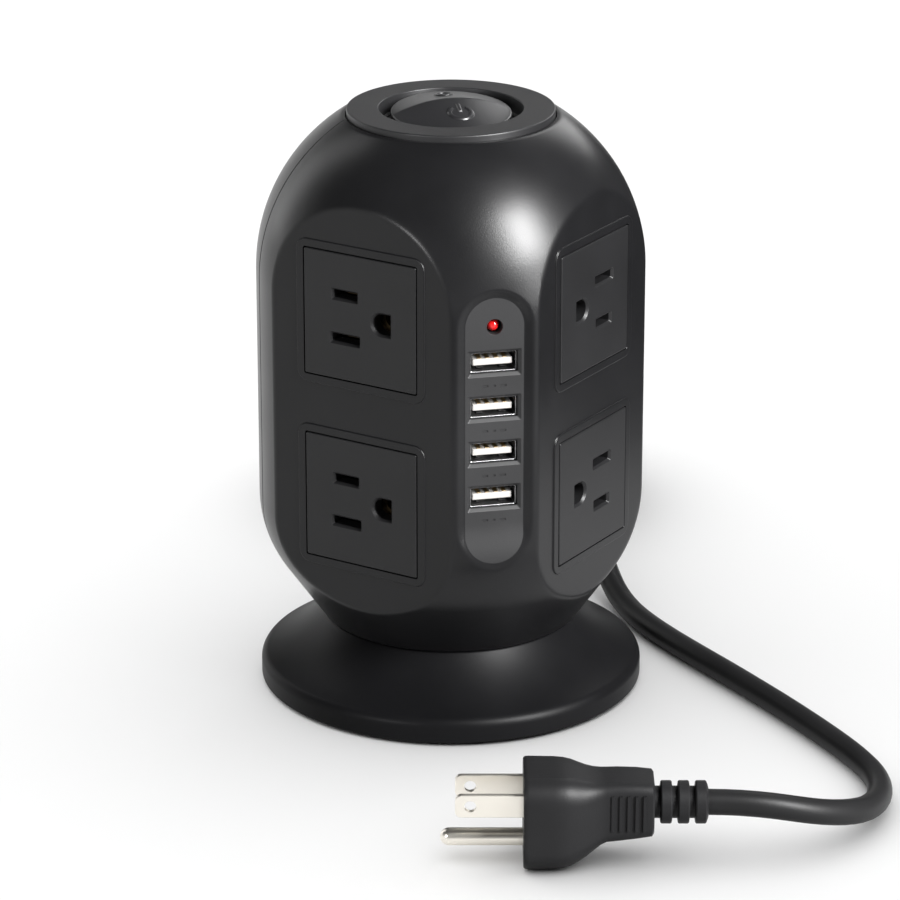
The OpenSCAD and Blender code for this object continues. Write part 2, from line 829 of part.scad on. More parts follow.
// A rounded cross-section slice of the plug at a distance along it
module plug_slice(x, w, low, high, r) {
    translate([0, 0, (low + high) / 2])
        along_x(x, 0.6) rounded_rect(w, high - low, r);
}

module plug_body() {
    grip = relief_len + body_len * 0.42;
    front = relief_len + body_len - 0.6;
    color("#202123")
    plug_frame() {
        rotate([0, 90, 0]) rotate_extrude($fn = 48)
            polygon([[0, 0], [4.4, 0], [5.6, relief_len + 0.4], [0, relief_len + 0.4]]);
        hull() {
            plug_slice(relief_len, 15, -7.5, 8, 5);
            plug_slice(grip, 17.5, -12.5, 8.8, 6);
        }
        hull() {
            plug_slice(grip, 17.5, -12.5, 8.8, 6);
            plug_slice(front - 9, 24, -15.6, 9.6, 7);
        }
        hull() {
            plug_slice(front - 9, 24, -15.6, 9.6, 7);
            plug_slice(front, 25, -16.2, 10, 7);
        }
    }
}

module plug_blades() {
    front = relief_len + body_len;
    color("#c9ccd0")
    plug_frame()
        for (s = [-1, 1]) translate([front, s * slot_pitch / 2, blade_z])
            difference() {
                translate([0, -blade_t / 2, -blade_w / 2]) cube([18, blade_t, blade_w]);
                translate([14, -3, 0]) rotate([-90, 0, 0]) cylinder(r = 1.6, h = 6, $fn = 32);
            }
}

module plug_ground_pin() {
    front = relief_len + body_len;
    color("#c9ccd0")
    plug_frame()
        translate([front, 0, blade_z - ground_offset]) rotate([0, 90, 0]) {
            cylinder(r = ground_pin_r, h = 19.6, $fn = 48);
            translate([0, 0, 19.6]) sphere(r = ground_pin_r, $fn = 48);
        }
}

front_shell();
rear_shell();
top_cap();
switch_housing();
rocker_button();
rocker_plunger();
rocker_spring();
switch_contact_arm();
switch_terminals();
for (f = [0:3]) for (r = [0, 1])
    outlet_plate(f, r);
for (f = [0:3]) for (b = [0:2])
    outlet_bar(f, b);
for (i = [0:port_count - 1]) {
    usb_shell(i);
    usb_tongue(i);
}
usb_board();
charger_board();
transformer();
capacitors();
power_led();
base_cover();
base_plate();
rubber_feet();
base_screws();
neck_screws();
shell_screws();
line_lead();
line_harness();
neutral_harness();
ground_harness();
cord_strain_relief();
cord_tail();
cord_coil();
cord_tie();
cord_lead();
plug_body();
plug_blades();
plug_ground_pin();
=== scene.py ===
"""Looks for the tower power strip: camera, materials and cord first, then the body, the outlets, the USB
column, the cap and rocker, the foot, the finishes of the inside, the floor and the light.
Shapes are written in millimetres and turned into metres by piece()."""

from math import acos, asin, atan, atan2, ceil, copysign, cos, degrees, exp, pi, radians, sin, sqrt, tan

import bmesh
import bpy
import numpy as np
from mathutils import Matrix, Vector
from mathutils.geometry import tessellate_polygon


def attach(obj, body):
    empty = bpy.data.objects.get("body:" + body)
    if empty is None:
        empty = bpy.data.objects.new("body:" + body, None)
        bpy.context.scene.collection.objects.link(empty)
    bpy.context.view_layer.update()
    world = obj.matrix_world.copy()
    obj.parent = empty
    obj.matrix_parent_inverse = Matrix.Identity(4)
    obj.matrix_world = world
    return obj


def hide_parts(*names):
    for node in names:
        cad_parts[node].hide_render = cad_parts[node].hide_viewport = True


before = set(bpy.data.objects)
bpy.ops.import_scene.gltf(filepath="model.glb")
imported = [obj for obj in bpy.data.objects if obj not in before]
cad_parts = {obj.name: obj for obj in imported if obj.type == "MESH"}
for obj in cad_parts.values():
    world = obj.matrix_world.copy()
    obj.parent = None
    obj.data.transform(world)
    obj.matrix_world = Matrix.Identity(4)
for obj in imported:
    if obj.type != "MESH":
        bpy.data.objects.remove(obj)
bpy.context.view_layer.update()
MM = 0.001
TAU, QUARTER = 2 * pi, pi / 2

# ---- the body's sizes, as in part.scad, in millimetres ----
BODY_R, FACE_DIST, BODY_Z, RIM_Z, WALL = 55.2, 46.8, 21.2, 168.9, 2.4
SHOULDER_R, SHOULDER_Z = 52.9, 124.3
HEEL_R, HEEL_Z, CONE = 34.0, 57.5, radians(35)
UPPER_Z, LOWER_Z = 121.2, 67.0
MID_Z = (UPPER_Z + LOWER_Z) / 2
PLATE_W, PLATE_H, PLATE_FRONT, PLATE_BACK = 36.6, 36.5, 47.35, 43.0
FRAME_W, FRAME_H, FRAME_FRONT, FRAME_BACK = 42.0, 41.8, 47.2, 43.2
PLATE_GAP = 0.3
SLOT_PITCH, SLOT_T, SLOT_SHIFT, GROUND_OFFSET = 12.7, 2.2, -4.9, 11.9
FACES = [("front_left", 225, 0), ("front_right", 315, 180), ("rear_right", 45, 0), ("rear_left", 135, 180)]
COLUMN_R, COLUMN_HALF, COLUMN_Z, PANEL_Y = 9.35, 30.25, 93.2, -53.4
PORT_Z, PORT_PITCH, LED_Z = 113.0, 13.1, 123.4
BOARD_FRONT = -38.1
SCREW_X, SCREW_HOLE_R, SCREW_FLOOR = 9.5, 3.4, 22.0
CAP_Z, CAP_R, WELL_R, SEAT_Z = 170.8, 29.35, 20.2, 168.1
ROCKER_R, PIVOT_Z, ROCKER_TILT = 17.05, 162.6, radians(4)
FOOT_R, NECK_R, EXIT_Z, RELIEF_END = 55.3, 36.5, 8.5, 84.0
FLARE_R, FLARE_X, FLARE_Z = 40.0, 68.6, 45.0
CORD_R = 3.5
COIL_AT, COIL_OUT, COIL_PITCH, COIL_TURN, CLIMBS = (36.0, 140.0), 51.5, 7.1, 3450.0, (80.0, 55.0, 80.0)
SPIRAL = (COIL_TURN - sum(CLIMBS)) / 4
LAYER, TIE_LIFT, TIE_ANGLE = 7, 0.95, radians(90)
PLUG_AT, PLUG_YAW, PLUG_LEN, BLADE_UP = (38.0, -139.0, 16.3), radians(167), 49.0, 1.8


def placed(name, data):
    """A new object in the scene."""
    made = bpy.data.objects.new(name, data)
    bpy.context.scene.collection.objects.link(made)
    return made


# ---- camera ----
def make_camera():
    """At the height, distance and turn from which the object shows its front left and front right faces."""
    azimuth, distance, height = radians(-12.917), 1.1618, 0.4981
    down, pan = radians(20.292), radians(0.013)
    data = bpy.data.cameras.new("camera")
    data.lens, data.sensor_width = 172.1, 36
    data.clip_start, data.clip_end = 0.05, 50
    camera = placed("camera", data)
    camera.location = (sin(azimuth) * distance, -cos(azimuth) * distance, height)
    camera.rotation_euler = (pi / 2 - down, 0, azimuth + pan)
    bpy.context.scene.camera = camera


make_camera()


# ---- mesh helpers ----
class Shape:
    """Vertices, in millimetres, and faces of one piece, gathered from several parts."""

    def __init__(self):
        self.verts, self.faces = [], []

    def add(self, verts, faces):
        k = len(self.verts)
        self.verts += [tuple(map(float, v)) for v in verts]
        self.faces += [tuple(int(i) + k for i in f) for f in faces]
        return self

    def loft(self, loops, closed=True, start=False, end=False):
        """Quads between loops of equal length; start and end close the two openings."""
        n, m = len(loops[0]), len(loops)
        faces = [(i * n + j, i * n + (j + 1) % n, (i + 1) * n + (j + 1) % n, (i + 1) * n + j)
                 for i in range(m - 1) for j in range(n if closed else n - 1)]
        if start:
            faces.append(tuple(reversed(range(n))))
        if end:
            faces.append(tuple((m - 1) * n + j for j in range(n)))
        return self.add([p for loop in loops for p in loop], faces)

    def lathe(self, profile, n):
        """A profile of (radius, height) turned about Z."""
        return self.loft([[(x, y, z) for x, y in circle(r, n)] for r, z in profile])

    def take(self, part):
        """Adds another shape's vertices and faces."""
        return self.add(part.verts, part.faces)

    def moved(self, matrix):
        """Turned and shifted in place."""
        self.verts = [tuple(matrix @ Vector(v)) for v in self.verts]
        return self

    def mesh(self, name):
        """The mesh, in metres."""
        made = bpy.data.meshes.new(name)
        made.from_pydata([(x * MM, y * MM, z * MM) for x, y, z in self.verts], [], self.faces)
        return made


def arc(cx, cy, r, a0, a1, steps=5):
    """Points on an arc, angles in degrees."""
    turns = [radians(a0 + (a1 - a0) * i / steps) for i in range(steps + 1)]
    return [(cx + r * cos(a), cy + r * sin(a)) for a in turns]


def circle(r, n, cx=0.0, cy=0.0):
    """Points round a circle, anticlockwise."""
    return [(cx + r * cos(TAU * k / n), cy + r * sin(TAU * k / n)) for k in range(n)]


def filleted(points, radii, steps=5):
    """An open line with each inner corner rounded to its radius."""
    out = [tuple(points[0])]
    for before, corner, after, r in zip(points, points[1:], points[2:], radii[1:]):
        p = np.array(corner, float)
        if r <= 0:
            out.append(tuple(p))
            continue
        a, b = np.array(before) - p, np.array(after) - p
        la, lb = np.linalg.norm(a), np.linalg.norm(b)
        a, b = a / la, b / lb
        half = acos(max(-1.0, min(1.0, float(a @ b)))) / 2
        cut = min(r / tan(half), 0.49 * la, 0.49 * lb)
        start, end = p + a * cut, p + b * cut
        for k in range(steps + 1):
            t = k / steps
            out.append(tuple((1 - t) ** 2 * start + 2 * t * (1 - t) * p + t * t * end))
    out.append(tuple(points[-1]))
    return out


def rounded_rect(w, h, r, steps=6):
    """Outline of a rounded rectangle, anticlockwise."""
    out = []
    for sx, sy, a in ((1, -1, -90), (1, 1, 0), (-1, 1, 90), (-1, -1, 180)):
        out += arc(sx * (w / 2 - r), sy * (h / 2 - r), r, a, a + 90, steps)
    return out


def ground_outline(grow):
    """Round towards the blade slots and square on the other side."""
    r, flat, corner = 2.9 + grow, 2.7 + grow, 0.3
    lower = arc(flat - corner, corner - r, corner, -90, 0, 3)
    upper = arc(flat - corner, r - corner, corner, 0, 90, 3)
    return lower + upper + arc(0, 0, r, 90, 270, 24)


def flat_face(outer, holes, place):
    """Triangles of a flat region with holes; place turns (a, b) into a point."""
    rings = [outer, *holes]
    points = [p for ring in rings for p in ring]
    triangles = tessellate_polygon([[Vector((x, y, 0)) for x, y in ring] for ring in rings])
    faces = []
    for i, j, k in triangles:
        (ax, ay), (bx, by), (cx, cy) = points[i], points[j], points[k]
        turn = (bx - ax) * (cy - ay) - (by - ay) * (cx - ax)
        if abs(turn) > 1e-9:
            faces.append((i, j, k) if turn > 0 else (i, k, j))
    return [place(*p) for p in points], faces


def corner_normals(mesh, sharp):
    """A normal for every face corner: the mean, by area, of the faces round it that turn less than sharp."""
    corners, count = len(mesh.loops), len(mesh.polygons)
    vert, area, normal = np.zeros(corners, int), np.zeros(count), np.zeros(3 * count)
    total = np.zeros(count, int)
    mesh.loops.foreach_get("vertex_index", vert)
    mesh.polygons.foreach_get("area", area)
    mesh.polygons.foreach_get("normal", normal)
    mesh.polygons.foreach_get("loop_total", total)
    face, normal = np.repeat(np.arange(count), total), normal.reshape(-1, 3)
    order = np.argsort(vert, kind="stable")
    starts = np.flatnonzero(np.r_[True, np.diff(vert[order]) > 0])
    sizes = np.diff(np.r_[starts, corners])
    out = np.zeros((corners, 3))
    for size in np.unique(sizes):
        rows = order[starts[sizes == size][:, None] + np.arange(size)]
        n, w = normal[face[rows]], area[face[rows]] + 1e-15
        near = np.einsum("gic,gjc->gij", n, n) > cos(sharp)
        near |= np.eye(size, dtype=bool)
        mixed = np.einsum("gij,gj,gjc->gic", near, w, n)
        out[rows] = mixed / np.maximum(np.linalg.norm(mixed, axis=2, keepdims=True), 1e-20)
    return out.tolist()


def piece(name, shape, finish, body="tower", stands_for=(), sharp=38):
    """Makes the object and rides it on its body; edges that turn more than sharp degrees stay sharp."""
    mesh = shape.mesh(name)
    bm = bmesh.new()
    bm.from_mesh(mesh)
    bmesh.ops.remove_doubles(bm, verts=bm.verts, dist=2e-6)
    bm.to_mesh(mesh)
    bm.free()
    mesh.validate()
    mesh.shade_smooth()
    mesh.normals_split_custom_set(corner_normals(mesh, radians(sharp)))
    mesh.materials.append(finish)
    made = placed(name, mesh)
    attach(made, body)
    if stands_for:
        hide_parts(*stands_for)
    return made


# ---- materials ----
def node(tree, kind, **values):
    """A new shader node with some inputs set; an underscore stands for the space in an input's name."""
    made = tree.nodes.new("ShaderNode" + kind)
    for name, value in values.items():
        made.inputs[name.replace("_", " ")].default_value = value
    return made


def join(tree, *links):
    """Links outputs to inputs; each link is (node, output, node, input)."""
    for source, output, target, into in links:
        tree.links.new(source.outputs[output], target.inputs[into])


def blend(ramp, first, second, start, end):
    """Sets the two colours of a colour ramp and where they stand."""
    for element, colour, position in zip(ramp.color_ramp.elements, (first, second), (start, end)):
        element.color, element.position = (*colour, 1), position


def material(name, colour, rough, metallic=0.0, grain=1500, bump=0.00002, mottle=0.12, patch=45.0,
             rough_swing=0.05, stretch=(1, 1, 1), specular=0.5, coat=0.0, warm=None):
    """A procedural finish: broad colour drift, fine grain in the bump and a slight drift in roughness.
    grain is the number of grains per metre, and bump their depth in metres."""
    made = bpy.data.materials.new(name)
    made.use_nodes = True
    tree = made.node_tree
    shader = tree.nodes["Principled BSDF"]
    shader.inputs["Metallic"].default_value = metallic
    shader.inputs["Specular IOR Level"].default_value = specular
    shader.inputs["Coat Weight"].default_value = coat
    place = node(tree, "TexCoord")
    scale = node(tree, "Mapping", Scale=stretch)
    drift = node(tree, "TexNoise", Scale=patch, Detail=4)
    ramp = node(tree, "ValToRGB")
    darker, lighter = [c * (1 - mottle) for c in colour], [min(1, c * (1 + mottle)) for c in warm or colour]
    blend(ramp, darker, lighter, 0.3, 0.7)
    sheen = node(tree, "MapRange", To_Min=max(0.02, rough - rough_swing), To_Max=rough + rough_swing)
    fine = node(tree, "TexNoise", Scale=grain, Detail=3)
    relief = node(tree, "Bump", Strength=1, Distance=bump)
    join(tree, (place, "Object", scale, "Vector"), (scale, "Vector", drift, "Vector"),
         (drift, "Fac", ramp, "Fac"), (ramp, "Color", shader, "Base Color"), (drift, "Fac", sheen, "Value"),
         (sheen, "Result", shader, "Roughness"), (scale, "Vector", fine, "Vector"),
         (fine, "Fac", relief, "Height"), (relief, "Normal", shader, "Normal"))
    return made


SHELL = material("shell_plastic", (0.0055, 0.0055, 0.006), 0.31, grain=2600, specular=0.27)
OUTLET = material("outlet_plastic", (0.0075, 0.0075, 0.008), 0.42, grain=2200, specular=0.3)
PANEL = material("panel_plastic", (0.013, 0.013, 0.0137), 0.5, grain=2400, specular=0.36)
# Painted light in part: the cap's black plastic is twice as light as the shell's, standing in for the light
# on the cap's upward-facing top.
CAP_PAINTED_LIGHT = material("cap_plastic", (0.011, 0.011, 0.0117), 0.4, grain=2600, specular=0.4)
ROCKER = material("rocker_plastic", (0.012, 0.012, 0.013), 0.34, grain=3000, bump=0.000012)
FOOT = material("foot_plastic", (0.0036, 0.0036, 0.004), 0.42, grain=2600, specular=0.09)
DARK = material("inner_plastic", (0.02, 0.02, 0.022), 0.55, grain=1800, bump=0.00003)
# Painted shade: this white plastic is set grey, far below the white wire, to stand for the shade on the USB
# tongues inside their ports; the rocker's plunger shares it.
SHADED_WHITE = material("white_plastic", (0.34, 0.33, 0.315), 0.4, grain=2500, bump=0.00001, mottle=0.03)
BRASS = material("brass", (0.72, 0.5, 0.22), 0.3, metallic=1, bump=0.000008,
                 stretch=(1, 1, 0.15), warm=(0.8, 0.6, 0.32))
BAR = material("tarnished_brass", (0.06, 0.042, 0.02), 0.55, metallic=1, bump=0.00001,
               warm=(0.09, 0.065, 0.035))
# Painted shade: the USB shells' steel is set darker than the other steels, standing in for the shade inside
# the ports.
SHADED_USB_STEEL = material("usb_steel", (0.42, 0.42, 0.43), 0.26, metallic=1, grain=1800, bump=0.000006,
                 stretch=(0.1, 1, 1), mottle=0.06)
SPRING = material("spring_steel", (0.6, 0.61, 0.63), 0.28, metallic=1, grain=2500, bump=0.000005)
BOARD = material("circuit_board", (0.03, 0.14, 0.06), 0.42, grain=700, bump=0.00004,
                 warm=(0.05, 0.2, 0.09))
TAPE = material("winding_tape", (0.72, 0.5, 0.06), 0.4, grain=900, bump=0.00004,
                stretch=(1, 1, 6), warm=(0.8, 0.6, 0.12))
SLEEVE = material("capacitor_sleeve", (0.03, 0.035, 0.06), 0.3, grain=1200, bump=0.00001)
RED = material("red_lens", (0.45, 0.008, 0.008), 0.12, grain=900, mottle=0.2, coat=0.6)
RUBBER = material("foot_rubber", (0.02, 0.02, 0.021), 0.75, grain=1600, bump=0.00006)
SCREW = material("screw_steel", (0.55, 0.56, 0.58), 0.32, metallic=1, grain=1600, bump=0.00001)
BLACK_WIRE = material("black_wire", (0.015, 0.015, 0.016), 0.4)
WHITE_WIRE = material("white_wire", (0.72, 0.72, 0.7), 0.4, mottle=0.04)
GREEN_WIRE = material("green_wire", (0.03, 0.22, 0.07), 0.4)
CORD = material("cord_vinyl", (0.008, 0.008, 0.0083), 0.42, grain=1700, bump=0.00003, specular=0.15)
PLUG = material("plug_vinyl", (0.0085, 0.0085, 0.009), 0.44, grain=1900, bump=0.00003, specular=0.15)
TIE = material("tie_strap", (0.01, 0.01, 0.011), 0.8, grain=900, bump=0.00012)
NICKEL = material("blade_metal", (0.92, 0.88, 0.8), 0.34, metallic=1, grain=1400, bump=0.000006,
                  stretch=(0.15, 1, 1), mottle=0.05)


# ---- cord ----
def catmull(points, spacing):
    """A smooth curve through the points, with a point about every spacing."""
    p = [np.array(q, float) for q in points]
    p = [2 * p[0] - p[1], *p, 2 * p[-1] - p[-2]]
    out = []
    for i in range(1, len(p) - 2):
        steps = max(1, int(round(np.linalg.norm(p[i + 1] - p[i]) / spacing)))
        for k in range(steps):
            t = k / steps
            out.append(0.5 * (2 * p[i] + (p[i + 1] - p[i - 1]) * t
                              + (2 * p[i - 1] - 5 * p[i] + 4 * p[i + 1] - p[i + 2]) * t * t
                              + (3 * p[i] - p[i - 1] - 3 * p[i + 1] + p[i + 2]) * t ** 3))
    out.append(p[-2])
    return out


def ease(t):
    """A smooth step from 0 to 1."""
    t = max(0.0, min(1.0, t))
    return t * t * (3 - 2 * t)


def coil_slot(turned):
    """Radius and height of the coil's centreline after so many degrees: four layers, each an even spiral in
    or out, with a climb to the next layer between them."""
    inner = COIL_OUT - COIL_PITCH * SPIRAL / 360
    for layer in range(4):
        if turned <= SPIRAL or layer == 3:
            t = min(1.0, turned / SPIRAL)
            return COIL_OUT + (inner - COIL_OUT) * (t if layer % 2 == 0 else 1 - t), CORD_R + LAYER * layer
        turned -= SPIRAL
        if turned <= CLIMBS[layer]:
            climbed = ease(turned / CLIMBS[layer])
            return (inner if layer % 2 == 0 else COIL_OUT), CORD_R + LAYER * (layer + climbed)
        turned -= CLIMBS[layer]


def coil_points():
    """The coil's centreline, clockwise seen from above, lifted a little where the tie passes under it."""
    out, step, spread = [], 5.0, 20
    for i in range(int(COIL_TURN / step) + 1):
        turned = i * step
        r, z = coil_slot(turned)
        a = pi - radians(turned)
        off = degrees(atan2(sin(a - TIE_ANGLE), cos(a - TIE_ANGLE)))
        z += TIE_LIFT * exp(-((off / spread) ** 2))
        out.append(np.array((COIL_AT[0] + r * cos(a), COIL_AT[1] + r * sin(a), z)))
    return out


TAIL = [(0, 84, 8.5), (0, 90, 8.2), (-1, 97, 7), (-4, 105, 5.4), (-8.5, 113, 4.1), (-13, 122, 3.6),
        (-15.3, 131, 3.5), (-15.5, 140, 3.5)]
LEAD = [(80.5, 114.5, 24.5), (73, 104, 24.5), (67, 93, 24), (62, 80, 20.5), (60, 66, 14.5), (60, 52, 8.5),
        (60, 38, 4.6), (61, 24, 3.5), (63.5, 10, 3.5), (67.2, -3, 3.5), (71.5, -16, 3.5), (76, -29, 3.5),
        (80.2, -42, 3.5), (84.3, -55, 3.5), (88, -68, 3.5), (91.5, -81.5, 3.5), (94.3, -95, 3.5),
        (95, -109, 3.7), (91, -123, 4.8), (82, -135, 7.4), (69, -142, 11.4), (55, -143, 15.2),
        (46, -141, 16.2), (38, -139, 16.3)]


def smooth_path(points):
    """Evens small kinks where two stretches meet, and keeps both ends."""
    p = np.array(points, float)
    for _ in range(2):
        p[1:-1] = 0.5 * p[1:-1] + 0.25 * (p[:-2] + p[2:])
    return p


def sweep(path, radius, sides=20):
    """A round tube along a path, with its section carried along without twist."""
    p = np.array(path, float)
    t = np.gradient(p, axis=0)
    t /= np.linalg.norm(t, axis=1)[:, None]
    n = np.cross(t[0], (0.0, 0.0, 1.0))
    n /= np.linalg.norm(n)
    loops = []
    for i in range(len(p)):
        n = n - t[i] * (n @ t[i])
        n /= np.linalg.norm(n)
        b = np.cross(t[i], n)
        loops.append([p[i] + x * n + y * b for x, y in circle(radius, sides)])
    return Shape().loft(loops, start=True, end=True)


def make_cord():
    """The whole cord as one tube: from the foot, round the coil and on to the plug."""
    path = smooth_path(catmull(TAIL, 4)[:-1] + coil_points() + catmull(LEAD, 4)[1:])
    made = piece("mains_cord", sweep(path, CORD_R), CORD,
                 stands_for=("cord_tail", "cord_coil", "cord_lead"), sharp=60)
    return made, path


cord, cord_path = make_cord()


# ---- the cord's own pieces ----
def make_relief():
    """Tapered strain relief with ribs and slots between them, along +Y."""
    ribs, pitch, taper, slot = 6, 4.0, 0.36, 1.0
    profile = [(4.9, 49), (4.9, 55.3), (5.9, 55.35), (6.3, 55.9), (6.3, 58.6)]
    for k in range(ribs):
        y, r = 59.2 + k * pitch, 6.0 - taper * k
        profile += [(r - slot, y), (r - slot, y + 1.1), (r, y + 1.5), (r, y + 3.4)]
    profile += filleted([(4.0, RELIEF_END - 1), (4.0, RELIEF_END), (3.55, RELIEF_END)], [0, 0.3, 0])
    shape = Shape().lathe(profile, 64)
    shape.moved(Matrix.Translation((0, 0, EXIT_Z)) @ Matrix.Rotation(-pi / 2, 4, "X"))
    return piece("strain_relief", shape, CORD, stands_for=("cord_strain_relief",), sharp=40)


def make_tie():
    """A strap round the coil's strands, with a folded end on top."""
    first, turns = degrees(pi - TIE_ANGLE), int(COIL_TURN / 360) + 1
    slots = [coil_slot(first + 360 * k) for k in range(turns) if first + 360 * k <= COIL_TURN]
    strands = np.array([(r, z + TIE_LIFT) for r, z in slots])
    inner, outer, half = CORD_R + 0.05, CORD_R + 0.85, 4.3
    loops = []
    for off, x in ((inner, -half), (inner, half), (inner + 0.15, half + 0.2), (outer - 0.15, half + 0.2),
                   (outer, half), (outer, -half), (outer - 0.15, -half - 0.2), (inner + 0.15, -half - 0.2),
                   (inner, -half)):
        loop = []
        for d in np.array(circle(1, 96)):
            c = strands[np.argmax(strands @ d)]
            loop.append((c[0] + off * d[0], x, c[1] + off * d[1]))
        loops.append(loop)
    shape = Shape().loft(loops)
    top = strands[:, 1].max() + outer + 1.0
    flap = [[(36 + 1.6 * k, x, top - 0.25 * max(0, k - 4)) for k in range(8)] for x in (-4.2, 4.2)]
    low = [[(x, y, z - 0.8) for x, y, z in row] for row in flap]
    shape.loft([flap[0], flap[1], low[1], low[0], flap[0]], closed=False)
    shape.moved(Matrix.Translation((*COIL_AT, 0)) @ Matrix.Rotation(TIE_ANGLE, 4, "Z"))
    return piece("coil_tie", shape, TIE, stands_for=("cord_tie",), sharp=40)


PLUG_PLACE = Matrix.Translation(PLUG_AT) @ Matrix.Rotation(PLUG_YAW, 4, "Z")


def plug_section(x, w, low, high, r):
    """A rounded section of the plug at a distance along it."""
    return [(x, a, b + (low + high) / 2) for a, b in rounded_rect(w, high - low, r, 11)]


def make_plug():
    """The plug's body with ribbed grips, behind it the three rings of its own strain relief."""
    ring_r, neck_r = 5.75, 4.3
    profile = [(3.6, 0.0), (4.6, 0.25)]
    for k in range(3):
        x = 0.6 + k * 4.6
        profile += [(ring_r - 0.25, x), (ring_r, x + 0.3), (ring_r, x + 2.6), (ring_r - 0.25, x + 2.9),
                    (neck_r, x + 3.1), (neck_r, x + 4.4)]
    shape = Shape().lathe([*profile, (neck_r, 14.6)], 48)
    shape.moved(Matrix.Rotation(pi / 2, 4, "Y"))
    sections = [
        (14.4, 9.0, -4.6, 4.6, 3.2), (14.5, 13.6, -7.2, 7.0, 3.4), (15.0, 14.6, -7.8, 7.5, 3.2),
        (19.0, 15.0, -8.3, 7.8, 3.0), (24.0, 15.2, -8.9, 7.9, 3.0), (27.0, 15.6, -9.2, 7.8, 3.2),
        (28.5, 16.2, -10.0, 7.8, 3.6), (30.5, 17.6, -11.6, 7.9, 4.2), (32.5, 19.4, -13.2, 8.3, 5.0),
        (34.5, 21.2, -14.5, 8.9, 5.6), (36.5, 22.9, -15.4, 9.5, 6.0), (38.5, 24.0, -15.9, 9.8, 6.2),
        (41.0, 24.6, -16.0, 9.9, 6.3), (47.6, 24.9, -16.1, 9.95, 6.3), (48.5, 24.7, -16.0, 9.85, 6.2),
        (48.9, 24.2, -15.7, 9.6, 6.0), (49.0, 23.6, -15.4, 9.3, 5.8)]
    shape.loft([plug_section(*q) for q in sections], start=True, end=True)
    for side in (-1, 1):
        for k in range(5):
            x = 17.2 + 2.1 * k
            rib = [[(x + dx, side * y, z) for z in (-5.0, -4.4, 4.4, 5.0)]
                   for dx, y in ((-0.55, 7.3), (-0.3, 8.05), (0.3, 8.05), (0.55, 7.3))]
            shape.loft(rib if side < 0 else rib[::-1], closed=False)
    shape.moved(PLUG_PLACE)
    return piece("plug_housing", shape, PLUG, stands_for=("plug_body",), sharp=36)


def ray_end(line, x0, angle):
    """Where a ray from (x0, 0) meets a closed outline."""
    d = np.array((cos(angle), sin(angle)))
    p = np.array(line) - (x0, 0)
    step = np.roll(p, -1, axis=0) - p
    cross = d[0] * step[:, 1] - d[1] * step[:, 0]
    safe = np.where(np.abs(cross) < 1e-12, 1.0, cross)
    along = (p[:, 0] * step[:, 1] - p[:, 1] * step[:, 0]) / safe
    share = (p[:, 0] * d[1] - p[:, 1] * d[0]) / safe
    good = (np.abs(cross) > 1e-12) & (along > 0) & (share > -1e-5) & (share < 1 + 1e-5)
    reach = along[good].max()
    return x0 + d[0] * reach, d[1] * reach


def make_blades():
    """Two flat blades with rounded tips and a hole near each tip."""
    half_t, half_w, length, root, tip, edge = 0.75, 3.175, 18.0, -0.6, 1.6, 0.16
    hole_x, hole_r, rays = 14.0, 1.6, 40

    def ring(cut):
        """The blade's outline, smaller by a cut."""
        return [(root, cut - half_w)] + arc(length - tip, tip - half_w, tip - cut, -90, 0, 6) \
            + arc(length - tip, half_w - tip, tip - cut, 0, 90, 6) + [(root, half_w - cut)]

    outline, inner = ring(0), ring(edge)
    turns = sorted({round(atan2(z, x - hole_x) % TAU, 6) for x, z in outline + inner}
                   | {round(TAU * k / rays, 6) for k in range(rays)})
    hole = [(hole_x + hole_r * cos(a), hole_r * sin(a)) for a in turns]
    outline, inner = ([ray_end(line, hole_x, a) for a in turns] for line in (outline, inner))
    shape = Shape()
    for middle in (-SLOT_PITCH / 2, SLOT_PITCH / 2):
        stages = ((-half_t, hole), (-half_t, inner), (-half_t + edge, outline), (half_t - edge, outline),
                  (half_t, inner), (half_t, hole))
        shape.loft([[(x, middle + y, z) for x, z in points] for y, points in stages])
        shape.loft([[(x, middle + y, z) for x, z in hole] for y in (half_t, -half_t)])
    shape.moved(PLUG_PLACE @ Matrix.Translation((PLUG_LEN, 0, BLADE_UP)))
    return piece("plug_flat_blades", shape, NICKEL, stands_for=("plug_blades",), sharp=18)


def make_ground_pin():
    """A round pin with a domed tip."""
    r, length = 2.375, 19.6
    profile = [(r + 0.3, -0.5), (r, 0.0)] + [(a, length + b) for a, b in arc(0, 0, r, 0, 90, 10)]
    shape = Shape().lathe(profile, 48)
    along = Matrix.Translation((PLUG_LEN, 0, BLADE_UP - GROUND_OFFSET)) @ Matrix.Rotation(pi / 2, 4, "Y")
    shape.moved(PLUG_PLACE @ along)
    return piece("plug_round_pin", shape, NICKEL, stands_for=("plug_ground_pin",), sharp=50)


cord_pieces = [make_relief(), make_tie(), make_plug(), make_blades(), make_ground_pin()]


# ---- body ----
def round_radius(z):
    """Radius of the round body at a height."""
    if z > SHOULDER_Z:
        return BODY_R - SHOULDER_R + sqrt(max(0.0, SHOULDER_R ** 2 - (z - SHOULDER_Z) ** 2))
    if z >= HEEL_Z:
        return BODY_R
    heel_x, drop = BODY_R - HEEL_R, HEEL_Z - HEEL_R * sin(CONE)
    if z > drop:
        return heel_x + sqrt(HEEL_R ** 2 - (z - HEEL_Z) ** 2)
    return heel_x + HEEL_R * cos(CONE) - (drop - z) * tan(CONE)


ROUND = np.array([(z, round_radius(z)) for z in np.arange(20, 170, 0.05)])
BLEND = 0.55


def skin_y(x, z):
    """Distance of the round skin from the seam plane."""
    r = float(np.interp(z, ROUND[:, 0], ROUND[:, 1]))
    return sqrt(r * r - x * x)


